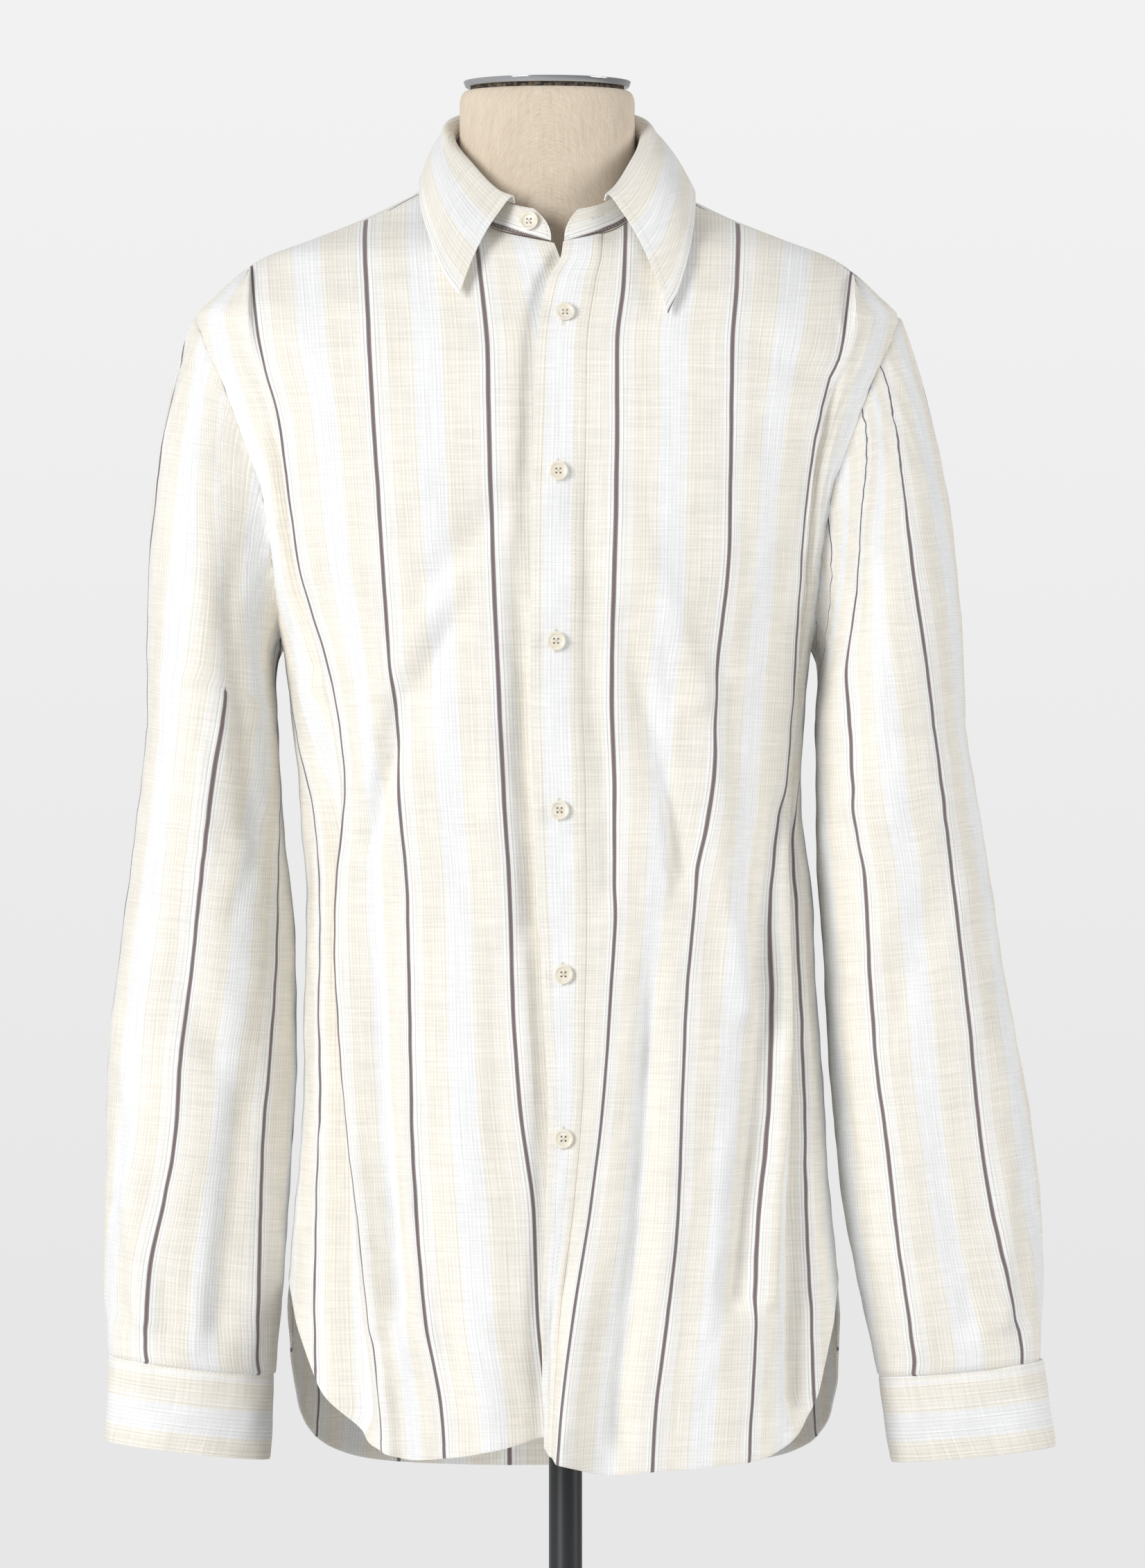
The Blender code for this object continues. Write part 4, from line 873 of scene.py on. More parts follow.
def push(u, z, folds, length=1.0):
    """How far the folds lift the cloth at (u, z). Length turns u into metres."""
    total = np.zeros(np.broadcast(u, z).shape)
    for u0, z0, u1, z1, width, depth in zip(*(folds[name] for name in FOLD_NAMES.split())):
        run = np.array(((u1 - u0) * length, z1 - z0))
        du, dz = (u - u0) * length, z - z0
        t = np.clip((du * run[0] + dz * run[1]) / (run @ run), 0, 1)
        apart = np.hypot(du - t * run[0], dz - t * run[1])
        growing = mix(FOLD_START, 1, ease(t / FOLD_RISE))
        total = total + depth * growing * np.exp(-((apart / width) ** 2))
    return total


def fine_lift(panel, u, z):
    return push(u, z, FOLDS[panel]) + push(u, z, CREASES[panel]) + crinkle(u, z)


def outline(x, z, facing):
    """y on the body's outline, and its outward normal in plan. Facing is -1 in front."""
    depth = at(SECTIONS, "front" if facing < 0 else "back", z)
    half = at(SECTIONS, "half", z)
    across = (x - at(SECTIONS, "centre", z)) / half
    share = np.minimum(np.abs(across), 0.9995)
    y = facing * depth * (1 - share**POWER) ** (1 / POWER)
    nx = np.sign(across) * share ** (POWER - 1) / half
    ny = facing * (np.abs(y) / depth) ** (POWER - 1) / depth
    length = np.hypot(nx, ny)
    return y, nx / length, ny / length


def side_x(z, facing, side):
    """x of the side seam, and of the armhole seam above the underarm."""
    name = "front" if facing < 0 else "back"
    share = np.minimum(at(ARMHOLE, name, z) / at(SECTIONS, name, z), 0.999)
    half = at(SECTIONS, "half", z) * np.where(z > UNDERARM, (1 - share**POWER) ** (1 / POWER), 1)
    return at(SECTIONS, "centre", z) + side * half


def ring_point(angle, half, middle, front, back, height):
    """Point of a neck ring at an angle from the front, counted towards +X."""
    bend = np.radians(angle)
    x = AXIS + FRONT_LEAN * np.maximum(np.cos(bend), 0) ** 2 + half * np.sin(bend)
    y = middle - mix(back, front, (1 + np.cos(bend)) / 2) * np.cos(bend)
    return np.stack((x, y, at(COLLAR, height, np.abs(angle), "angle")), -1)


def neck_point(angle):
    return ring_point(angle, *NECK_RING, "seam")


def yoke_seam(side, s):
    """Front yoke seam, from the collar at 0 to the shoulder point at 1."""
    start = neck_point(np.array(side * JUNCTION))
    x = mix(start[0], AXIS + side * SHOULDER["out"][-1], s)
    top = at(SHOULDER, "z", np.abs(x - AXIS), "out")
    lift = start[2] - at(SHOULDER, "z", abs(start[0] - AXIS), "out")
    return np.stack((x, mix(start[1], -0.004, s), top + lift * (1 - s) ** 3), -1)


def front_top(side, x):
    """Point of the neckline or of the yoke seam at x."""
    angles = np.linspace(-JUNCTION, JUNCTION, 313)
    neck = neck_point(angles)
    start = neck_point(np.array(side * JUNCTION))[0]
    on_neck = neck_point(np.interp(x, neck[:, 0], angles))
    reach = AXIS + side * SHOULDER["out"][-1] - start
    on_seam = yoke_seam(side, np.clip((x - start) / reach, 0, 1))
    return np.where((side * (x - start) < 0)[..., None], on_neck, on_seam)


def warp_x(side, u, z):
    """x of the warp line u at height z."""
    lines = WARP_AT[side]
    known = [at(WARP[side], name, z) for name in WARP_NAMES]
    to_seam = np.interp(u, (lines[-1], lines[-1] + REPEAT, SIDE_SEAM), (0, 0.66, 1))
    x = known[0]
    for left, right, start, end in zip(known, known[1:], lines, lines[1:]):
        x = np.where(u >= start, mix(left, right, (u - start) / (end - start)), x)
    return np.where(u > lines[-1], mix(known[-1], side_x(z, -1, side), to_seam), x)


def front_surface(side, u, z, top):
    """Points of a front, with its upper edge brought onto the seams."""

    def plain(height):
        x = warp_x(side, u, height)
        y, nx, ny = outline(x, height, -1)
        lift = fine_lift(side, u, height) * np.clip((top - height) / 0.04, 0, 1)
        lift = lift + puckered(u, height)
        lift = lift + (PLACKET_LIFT * ease((0.045 - u) / 0.02) if side > 0 else 0)
        return np.stack((x + nx * lift, y + ny * lift, height), -1)

    target = front_top(side, warp_x(side, u, top))
    weight = ease((z - top + FRONT_BLEND) / FRONT_BLEND)[..., None]
    return plain(z) + (target - plain(top)) * weight


def depth_under(upper, x, z):
    """y of the upper front at (x, z), for the edge that lies under it."""
    lines = upper[:30]
    y = np.empty(x.shape)
    for i in np.ndindex(x.shape):
        row = [[np.interp(z[i], line[:, 2], line[:, axis]) for line in lines] for axis in (0, 1)]
        y[i] = np.interp(x[i], *row)
    return y


def rows_of(low, high, steep_top):
    """Share of the way from hem to underarm, and from underarm to the top, for each row."""
    hem = np.linspace(0, HEM_SHARE, HEM_ROWS)[:-1]
    below = np.concatenate((hem, np.linspace(HEM_SHARE, 1, low + 1)[:-1], np.ones(high + 1)))
    turned = np.arange(high + 1) / high * (np.pi if steep_top else np.pi / 2)
    rise = (1 - np.cos(turned)) / (2 if steep_top else 1)
    return below, np.concatenate((np.zeros(HEM_ROWS - 1 + low), rise))


def front_grid(side, columns, upper=None):
    """Points of a front, and the warp line and height of each. The upper front is given to
    the lower one, whose free edge runs under it."""
    u = np.array(columns)[:, None] * np.ones(HEM_ROWS + FRONT_LOW + FRONT_HIGH)
    below, above = rows_of(FRONT_LOW, FRONT_HIGH, True)
    top_x = warp_x(side, u, np.full(u.shape, FRONT_TOP))
    top_x = np.where(u >= SIDE_SEAM, AXIS + side * SHOULDER["out"][-1], top_x)
    top = front_top(side, top_x)[..., 2]
    hem = at(HEM, "left" if side > 0 else "right", u, "u")
    z = hem + (UNDERARM - hem) * below + (top - UNDERARM) * above
    points = front_surface(side, u, z, top)
    points[..., -1, :] = front_top(side, top_x[..., -1])
    if upper is not None:
        x, y, height = points[:LAP_COLUMNS].transpose(2, 0, 1)
        under = depth_under(upper, x, height) + UNDER_LAP
        edge_x = np.interp(height, upper[0, :, 2], upper[0, :, 0])
        lapped = ease((x - edge_x + 0.012) / 0.010) * ease((1.042 - height) / 0.012)
        points[:LAP_COLUMNS, :, 1] = np.maximum(y, mix(y, under, lapped))
    return points, u, z


def hem_wall(z, hem):
    """Wall of a panel: doubled in the hem, and pinched at its folded edge."""
    up = z - hem
    wall = np.where(up < HEM_DEPTH, HEM_WALL, COTTON_WALL)
    return np.where(up < HEM_FOLD, HEM_WALL * FOLDED_EDGE, wall)


def cut_across(side, grid, u, z):
    """Distance across the warp, measured on the cloth where the armhole is cut out of it."""
    column = np.argmin(np.abs(u[:, 0] - WARP_AT[side][-1]))
    run = reach_along(grid)
    measured = u[column] + run - run[column]
    cut = mix(u, measured, ease((z - ARMHOLE_FROM) / ARMHOLE_RUN))
    return np.where(u > u[column], cut, u)


near_edge = np.linspace(WARP_AT[1][0], 0.030, 24)
front_columns = np.concatenate((near_edge, np.linspace(0.030, SIDE_SEAM, 92)[1:]))
armhole_rows = slice(HEM_ROWS - 1 + FRONT_LOW, None)
fronts = {1: front_grid(1, front_columns)}
fronts[-1] = front_grid(-1, front_columns, fronts[1][0])
for side, name in ((1, "left"), (-1, "right")):
    grid, u, z = fronts[side]
    across = side * (cut_across(side, grid, u, z) - WARP_AT[side][1])
    wall = hem_wall(z, at(HEM, name, u, "u"))
    panel = cloth_piece(f"shirt_front_{name}", grid, across, z, f"front_{name}", wall)
    seams = stitched(
        f"front_{name}", grid, normals(grid, (AXIS, 0)), COTTON_WALL,
        (1, False, HEM_STITCH), (0, True, SEAM_STITCH, armhole_rows),
    )

# Placket: a folded band 32 mm wide down the left front's free edge, stitched near both edges
PLACKET_COLUMNS, PLACKET_WALL, PLACKET_OUT, PLACKET_SUNK = 17, 0.0013, 0.00125, 0.0005
PLACKET_FLAT, PLACKET_STITCH = (0.032, 0.72), 0.0058
left_front, left_u, left_z = fronts[1]
placket_out = normals(left_front, (AXIS, 0))[:PLACKET_COLUMNS]
from_seam = ease((PLACKET_COLUMNS - 1 - np.arange(PLACKET_COLUMNS)) / 2)[:, None, None]
placket_lift = placket_out * mix(PLACKET_SUNK, PLACKET_OUT, from_seam)
placket_grid = left_front[:PLACKET_COLUMNS] + placket_lift
placket = cloth_piece(
    "button_band", placket_grid, (left_u - WARP_AT[1][1])[:PLACKET_COLUMNS],
    left_z[:PLACKET_COLUMNS], "front_placket", thinned(placket_grid, PLACKET_WALL),
)

# Back: one panel from the yoke seam to the curved tail, hanging clear of the form below
BACK_LOW, BACK_HIGH = 118, 44
BACK_SEAM, BACK_DROP = 0.978, 0.018


def back_top(u):
    return BACK_SEAM - BACK_DROP * (np.abs(u) / SIDE_SEAM) ** 2


def back_surface(u, z):
    side = np.where(u < 0, -1, 1)
    half, centre = at(SECTIONS, "half", z), at(SECTIONS, "centre", z)
    edge = np.abs(side_x(z, 1, side) - centre) / half
    angle = np.abs(u) / SIDE_SEAM * np.arcsin(np.minimum(edge, 1))
    x = centre + side * half * np.sin(angle)
    y, nx, ny = outline(x, z, 1)
    lift = fine_lift(0, u, z) * np.clip((back_top(u) - z) / 0.05, 0, 1) + puckered(u, z)
    return np.stack((x + nx * lift, y + ny * lift, z), -1)


back_columns = np.linspace(-SIDE_SEAM, SIDE_SEAM, 161)[:, None]
back_u = back_columns * np.ones(HEM_ROWS + BACK_LOW + BACK_HIGH)
below, above = rows_of(BACK_LOW, BACK_HIGH, False)
back_hem = at(HEM, "back", np.abs(back_u), "u")
back_z = back_hem + (UNDERARM - back_hem) * below + (back_top(back_u) - UNDERARM) * above
back_cloth = back_surface(back_u, back_z)
back_run = reach_along(back_cloth)
back_across = back_run - back_run[len(back_u) // 2] + REPEAT / 2
back_wall = hem_wall(back_z, back_hem)
back_panel = cloth_piece("shirt_back", back_cloth, back_across, back_z, "back", back_wall)
back_out = normals(back_cloth, (AXIS, 0))
armhole_rows = slice(HEM_ROWS - 1 + BACK_LOW, None)
back_seams = stitched(
    "back", back_cloth, back_out, COTTON_WALL, (1, False, HEM_STITCH),
    (0, False, SEAM_STITCH, armhole_rows), (0, True, SEAM_STITCH, armhole_rows),
)

# Yoke: cut in one piece across the stripes. It lies over both shoulders from the front seams
# to the back seam, and carries the weight of the shirt
YOKE_SHOULDER, YOKE_NECK, YOKE_ROWS = 34, 60, 28
YOKE_STRIPE, YOKE_STITCH = 0.083, 0.0017
YOKE_FULLNESS, YOKE_CROWDING, YOKE_FALL = 1.15, 1.3, (0, 0.20, -0.98)


def yoke_grid(shoulder, neck, rows):
    """From the front seams and the neckline over the shoulders to the back seam."""
    out = np.linspace(1, 0, shoulder + 1)[:-1]
    angles = -JUNCTION - np.linspace(0, 360 - 2 * JUNCTION, neck + 1)
    angles = np.where(angles < -180, angles + 360, angles)
    starts = [yoke_seam(-1, s) for s in out]
    starts += [neck_point(np.array(a)) for a in angles]
    starts += [yoke_seam(1, s) for s in out[::-1]]
    wide = mix(SIDE_SEAM, YOKE_SPREAD, 1 - out)
    u = np.concatenate((-wide, np.linspace(-YOKE_SPREAD, YOKE_SPREAD, neck + 1), wide[::-1]))
    ends = back_surface(u, back_top(u))
    around = np.concatenate((-JUNCTION + 0 * out, angles, JUNCTION + 0 * out))
    lean = 0.55 * np.concatenate((-(1 - out) ** 2, np.sign(angles), (1 - out[::-1]) ** 2))
    grid = []
    for start, end, angle, aside in zip(starts, ends, around, lean):
        reach = np.linalg.norm(end - start) * YOKE_FULLNESS
        sloping = np.array((0.60 * np.sin(np.radians(angle)), 0.60, -0.66))
        level = np.array((aside, 0.90, 0.12))
        first = mix(level, sloping, ease((abs(angle) - JUNCTION) / 60))
        t = (np.arange(rows + 1) / rows)[:, None] ** YOKE_CROWDING
        grid.append(swept(start, end, reach * first, reach * np.array(YOKE_FALL), t))
    return np.array(grid)


yoke_cloth = yoke_grid(YOKE_SHOULDER, YOKE_NECK, YOKE_ROWS)
yoke_down = reach_along(yoke_cloth, 1)
yoke_across = np.broadcast_to(reach_along(yoke_cloth[:, -1:]), yoke_down.shape)
yoke_out = normals(yoke_cloth, (AXIS, -0.02), 0.05)
yoke_panel = cloth_piece(
    "shirt_yoke", yoke_cloth, yoke_down[:, -1:] - yoke_down - YOKE_STRIPE, yoke_across, "yoke"
)
yoke_seams = stitched(
    "yoke", yoke_cloth, yoke_out, COTTON_WALL, (1, True, YOKE_STITCH),
    (1, False, YOKE_STITCH, slice(0, YOKE_SHOULDER)),
    (1, False, YOKE_STITCH, slice(-YOKE_SHOULDER, None)),
    (0, False, SEAM_STITCH), (0, True, SEAM_STITCH),
)

# Sleeves: each cut in one piece, closed along the underarm, and set into the armhole by a felled
# seam under the panel's edge. They hang empty, flattened front to back, and narrow to the cuff
CAP_RINGS, SLEEVE_RINGS, CAP_LEVEL = 34, 118, 0.755
SLEEVE_TILT, SLEEVE_AXIS, AROUND_SLEEVE = {-1: -0.115, 1: 0.095}, -0.002, 0.34
SLEEVE_LOW = {-1: 0.3726, 1: 0.3706}
# How far the ends of the rings inside the cuff lie below and within the last one
SLEEVE_TAIL = ((0.0012, 0.0012), (0.0022, 0.0030), (0.0045, 0.0044), (0.0080, 0.0048))
# Ways that the cap leaves the armhole: at its top, at the underarm, in front and behind
CAP_UP, CAP_UNDERARM = (0.30, 0, -1.0), (0.45, 0, -0.85)
CAP_FRONT, CAP_BACK = (0.80, -0.30, -0.50), (0.80, 0.30, -0.50)
GATHER_HIGH, GATHER_PITCH = 0.0005, 0.0145
TUCKED_IN, TUCKED_UNDER = 0.0045, 0.0014
SLEEVE = {-1: table((
    "z outer inner depth",
    (0.372, -0.2745, -0.1745, 0.036),
    (0.424, -0.2770, -0.1700, 0.043),
    (0.480, -0.2760, -0.1660, 0.048),
    (0.558, -0.2740, -0.1620, 0.054),
    (0.620, -0.2675, -0.1625, 0.058),
    (0.687, -0.2590, -0.1690, 0.064),
    (0.755, -0.2515, -0.1735, 0.068),
)), 1: table((
    "z outer inner depth",
    (0.370, 0.2850, 0.1880, 0.036),
    (0.424, 0.2865, 0.1760, 0.043),
    (0.469, 0.2850, 0.1668, 0.048),
    (0.519, 0.2790, 0.1615, 0.052),
    (0.564, 0.2710, 0.1580, 0.055),
    (0.620, 0.2610, 0.1550, 0.058),
    (0.687, 0.2510, 0.1510, 0.064),
    (0.755, 0.2395, 0.1505, 0.068),
))}
# Folds of the sleeves, whose first measure is in turns from the underarm
SLEEVE_FOLDS = {-1: table((
    FOLD_NAMES,
    (0.20, 0.860, 0.14, 0.700, 0.012, -0.0050),
    (0.33, 0.640, 0.22, 0.560, 0.013, -0.0050),
    (0.38, 0.500, 0.34, 0.400, 0.010, 0.0040),
    (0.16, 0.560, 0.19, 0.400, 0.010, -0.0045),
    (0.74, 0.820, 0.70, 0.560, 0.013, -0.0060),
    (0.64, 0.520, 0.66, 0.390, 0.010, -0.0050),
    (0.42, 0.545, 0.40, 0.485, 0.005, -0.0016),
    (0.28, 0.760, 0.24, 0.680, 0.006, 0.0014),
    (0.12, 0.690, 0.20, 0.640, 0.006, -0.0014),
    (0.22, 0.470, 0.24, 0.385, 0.005, 0.0016),
    (0.30, 0.440, 0.29, 0.378, 0.004, -0.0016),
    (0.11, 0.450, 0.12, 0.380, 0.005, 0.0014),
    (0.82, 0.700, 0.80, 0.560, 0.006, 0.0014),
    (0.58, 0.800, 0.60, 0.640, 0.006, -0.0014),
    (0.88, 0.460, 0.86, 0.380, 0.005, -0.0016),
)), 1: table((
    FOLD_NAMES,
    (0.20, 0.870, 0.15, 0.720, 0.012, -0.0050),
    (0.31, 0.660, 0.20, 0.580, 0.013, -0.0045),
    (0.24, 0.520, 0.27, 0.400, 0.010, -0.0045),
    (0.36, 0.500, 0.33, 0.400, 0.010, 0.0040),
    (0.73, 0.820, 0.71, 0.560, 0.013, -0.0060),
    (0.63, 0.520, 0.66, 0.390, 0.010, -0.0050),
    (0.27, 0.780, 0.24, 0.700, 0.006, 0.0014),
    (0.12, 0.700, 0.19, 0.650, 0.006, -0.0014),
    (0.17, 0.460, 0.18, 0.385, 0.005, 0.0016),
    (0.32, 0.430, 0.31, 0.376, 0.004, -0.0016),
    (0.41, 0.460, 0.41, 0.380, 0.005, 0.0014),
    (0.10, 0.430, 0.11, 0.380, 0.004, -0.0014),
    (0.81, 0.690, 0.80, 0.570, 0.006, 0.0014),
    (0.57, 0.790, 0.60, 0.650, 0.006, -0.0014),
    (0.87, 0.460, 0.86, 0.380, 0.005, -0.0016),
))}
# Where the two dark stripes of each sleeve's front lie at each height
SLEEVE_STRIPES = {-1: (table((
    "z x",
    (0.3787, -0.2511), (0.4273, -0.2483), (0.4661, -0.2400), (0.5102, -0.2318), (0.5544, -0.2289),
    (0.6097, -0.2219), (0.6596, -0.2165), (0.7202, -0.2095), (0.7837, -0.2012), (0.8500, -0.2020),
    (0.9300, -0.2030),
)), table((
    "z x",
    (0.3721, -0.1847), (0.4496, -0.1827), (0.5049, -0.1810), (0.5597, -0.1765), (0.6208, -0.1728),
    (0.6761, -0.1719), (0.7590, -0.1705), (0.8500, -0.1690),
))), 1: (table((
    "z x",
    (0.3778, 0.2736), (0.4273, 0.2628), (0.4772, 0.2517), (0.5156, 0.2459), (0.5709, 0.2406),
    (0.6319, 0.2336), (0.6979, 0.2257), (0.7755, 0.2158), (0.8526, 0.2047), (0.9244, 0.1964),
    (0.9855, 0.1865),
)), table((
    "z x",
    (0.3708, 0.2092), (0.4051, 0.2047), (0.4496, 0.1981), (0.5049, 0.1919), (0.5544, 0.1853),
    (0.6043, 0.1816), (0.6649, 0.1783), (0.7037, 0.1717), (0.7478, 0.1700), (0.7907, 0.1671),
    (0.8114, 0.1704), (0.8584, 0.1742), (0.9302, 0.1799),
)))}
# Height above which a tuck in the right sleeve's front swallows the long stripe, over what
# run, and how much cloth it takes on each side of the stripe
TUCK_FROM, TUCK_RUN, TUCK_TAKES = {-1: 0.780, 1: 2.0}, 0.012, (0.0120, 0.0022)
# Ease of the right sleeve's outside, which spreads its stripes from one height up
OUTER_STRETCH, STRETCH_FROM, STRETCH_RUN = {-1: 0.78, 1: 1.0}, 0.70, 0.15
TINY = 0.00001
BAND_SHARES, BAND_TALL, BAND_POINT, BAND_ROWS = (0.574, 0.643), 0.179, 0.010, 70
BAND_OUT, BAND_WALL, BAND_STITCH, BAND_STRIPE = 0.0013, 0.0012, 0.002, 0.02


def around_armhole(side, front, yoke, back):
    """Values along the armhole from the underarm up the front, over the yoke and down the back."""
    last = -1 if side > 0 else 0
    rising = front[-1, -FRONT_HIGH - 1 : -1]
    return np.concatenate((rising, yoke[last], back[last, -BACK_HIGH:-1][::-1]))


def sleeve_lift(side, angle_share, z):
    near_cuff = np.clip((z - 0.374) / 0.02, 0, 1)
    folds = push(angle_share, z, SLEEVE_FOLDS[side], AROUND_SLEEVE)
    return (folds + crinkle(angle_share * AROUND_SLEEVE, z)) * mix(0.35, 1, near_cuff)


def sleeve_ring(side, angle_share, z, lift):
    """Ring of the sleeve, where the share is 0 at the underarm and half at the outside."""
    inner, outer = at(SLEEVE[side], "inner", z), at(SLEEVE[side], "outer", z)
    angle = angle_share * 2 * np.pi
    middle, half = (inner + outer) / 2, (outer - inner) / 2
    x = middle - (half + side * lift) * np.cos(angle)
    y = SLEEVE_AXIS - (at(SLEEVE[side], "depth", z) + lift) * np.sin(angle)
    return np.stack((x, y, z + SLEEVE_TILT[side] * (x - middle) * ease((0.46 - z) / 0.08)), -1)


def sleeve_grid(side, loop, hidden):
    """A sleeve from its hidden edge and the armhole's loop down into the cuff, and the share
    of the way round of each column."""
    run = reach_along(np.concatenate((loop, loop[:1])))
    top = int(np.argmax(loop[:, 2]))
    share = np.interp(run[:-1], (0, run[top], run[-1]), (0, 0.5, 1))
    turned = share * 2 * np.pi
    down, forward = np.cos(turned)[:, None], np.sin(turned)[:, None]
    start = loop + np.array((side, 0, 0)) * (0.0004 + 0.0007 * down**2)
    end = sleeve_ring(side, share, np.full(share.shape, CAP_LEVEL), 0)
    ways = ((-down, CAP_UP), (down, CAP_UNDERARM), (forward, CAP_FRONT), (-forward, CAP_BACK))
    mirror = np.array((side, 1, 1))
    leaving = unit(sum(np.maximum(weight, 0) * (mirror * way) for weight, way in ways))
    reach = np.linalg.norm(end - start, axis=1)[:, None]
    rings = [hidden, mix(hidden, start, 0.6)]
    for t in np.arange(CAP_RINGS) / CAP_RINGS:
        ring = swept(start, end, reach * leaving, reach * np.array((0, 0, -1.0)), t)
        gathers = np.exp(-((t * 9 - 1) ** 2)) * np.sin(run[:-1] * 2 * np.pi / GATHER_PITCH)
        lift = sleeve_lift(side, share, ring[:, 2]) * ease(t * 2.5) + GATHER_HIGH * gathers
        ring[:, 0] -= side * lift * down[:, 0]
        ring[:, 1] -= lift * forward[:, 0]
        rings.append(ring)
    for z in np.linspace(CAP_LEVEL, SLEEVE_LOW[side], SLEEVE_RINGS + 1):
        level = np.full(share.shape, z)
        rings.append(sleeve_ring(side, share, level, sleeve_lift(side, share, level)))
    for drop, inward in SLEEVE_TAIL:
        rings.append(sleeve_ring(side, share, level, -inward) - np.array((0, 0, drop)))
    grid = np.array(rings).transpose(1, 0, 2)
    return np.concatenate((grid, grid[:1])), np.concatenate((share, (1,)))


def stripe_places(side, grid):
    """Distance across the warp at each point of a sleeve, led by its two dark stripes.

    The second grid says how much cloth the tuck has taken away beside the outer stripe.
    """
    around = reach_along(grid)
    half = grid.shape[0] // 2
    led = []
    for stripe in SLEEVE_STRIPES[side]:
        beyond = side * (grid[:half, :, 0] - at(stripe, "x", grid[:half, :, 2]))
        beyond = np.maximum.accumulate(beyond, axis=0)
        found = [np.interp(0, *ring) for ring in zip(beyond.T, around[:half].T)]
        led.append(np.convolve(np.pad(found, 3, mode="edge"), np.ones(7) / 7, "valid"))
    outer, inner = led[0], np.minimum(led[1], led[0] - 0.03)
    level = grid[half // 2, :, 2]
    before, after = (amount * ease((level - TUCK_FROM[side]) / TUCK_RUN) for amount in TUCK_TAKES)
    slower = mix(1, OUTER_STRETCH[side], ease((level - STRETCH_FROM) / STRETCH_RUN))
    places = []
    for k in range(grid.shape[1]):
        marks = (inner[k] - 1, inner[k], outer[k] - TINY, outer[k] + TINY, outer[k] + 1)
        places.append(np.interp(around[:, k], marks, (
            -REPEAT - 1, -REPEAT, -TINY - before[k], TINY + after[k], after[k] + slower[k]
        )))
    return np.stack(places, -1), np.broadcast_to(before + after, around.shape)


def under_edge(grid, column, inner, out):
    """A panel whose armhole edge is brought inwards and under itself."""
    tucked = grid.copy()
    inward = unit(grid[inner] - grid[column])
    tucked[column] = grid[column] + inward * TUCKED_IN - out[column] * TUCKED_UNDER
    return tucked


for side, name in ((1, "left"), (-1, "right")):
    front = fronts[side][0]
    last, before = (-1, -2) if side > 0 else (0, 1)
    loop = around_armhole(side, front, yoke_cloth, back_cloth)
    hidden = around_armhole(
        side, under_edge(front, -1, -2, normals(front, (AXIS, 0))),
        under_edge(yoke_cloth, last, before, yoke_out),
        under_edge(back_cloth, last, before, back_out),
    )
    grid, share = sleeve_grid(side, loop, hidden)
    across, taken = stripe_places(side, grid)
    down = reach_along(grid, 1)
    along = down - down[:, -1:]
    sleeve = cloth_piece(
        f"shirt_sleeve_{name}", grid, across, along, f"sleeve_{name}", taken=taken
    )

    # Band over the opening above the cuff, on the back of the sleeve, with a pointed top
    columns = np.nonzero((share >= BAND_SHARES[0]) & (share <= BAND_SHARES[1]))[0]
    at_cuff = (SLEEVE[side]["inner"][0] + SLEEVE[side]["outer"][0]) / 2
    outward = normals(grid, (at_cuff, SLEEVE_AXIS))
    upwards = slice(-5, 1, -1)
    band, band_out, band_across = [], [], []
    for c in columns:
        aside = abs(2 * (share[c] - share[columns[0]]) / np.ptp(share[columns]) - 1)
        heights = SLEEVE_LOW[side] + (BAND_TALL - BAND_POINT * aside) * np.linspace(0, 1, BAND_ROWS)
        levels = grid[c, upwards, 2]
        band_out.append(read_at(heights, levels, outward[c, upwards]))
        band.append(read_at(heights, levels, grid[c, upwards]) + band_out[-1] * BAND_OUT)
        band_across.append(np.interp(heights, levels, across[c, upwards]) + BAND_STRIPE)
    band, band_out, band_across = (np.array(part) for part in (band, band_out, band_across))
    strip = cloth_piece(
        f"sleeve_band_{name}", band, band_across, band[..., 2], f"sleeve_placket_{name}",
        thinned(band, BAND_WALL),
    )
    strip_seams = stitched(
        f"sleeve_band_{name}", band, band_out, BAND_WALL,
        (0, False, BAND_STITCH), (0, True, BAND_STITCH), (1, True, BAND_STITCH),
    )

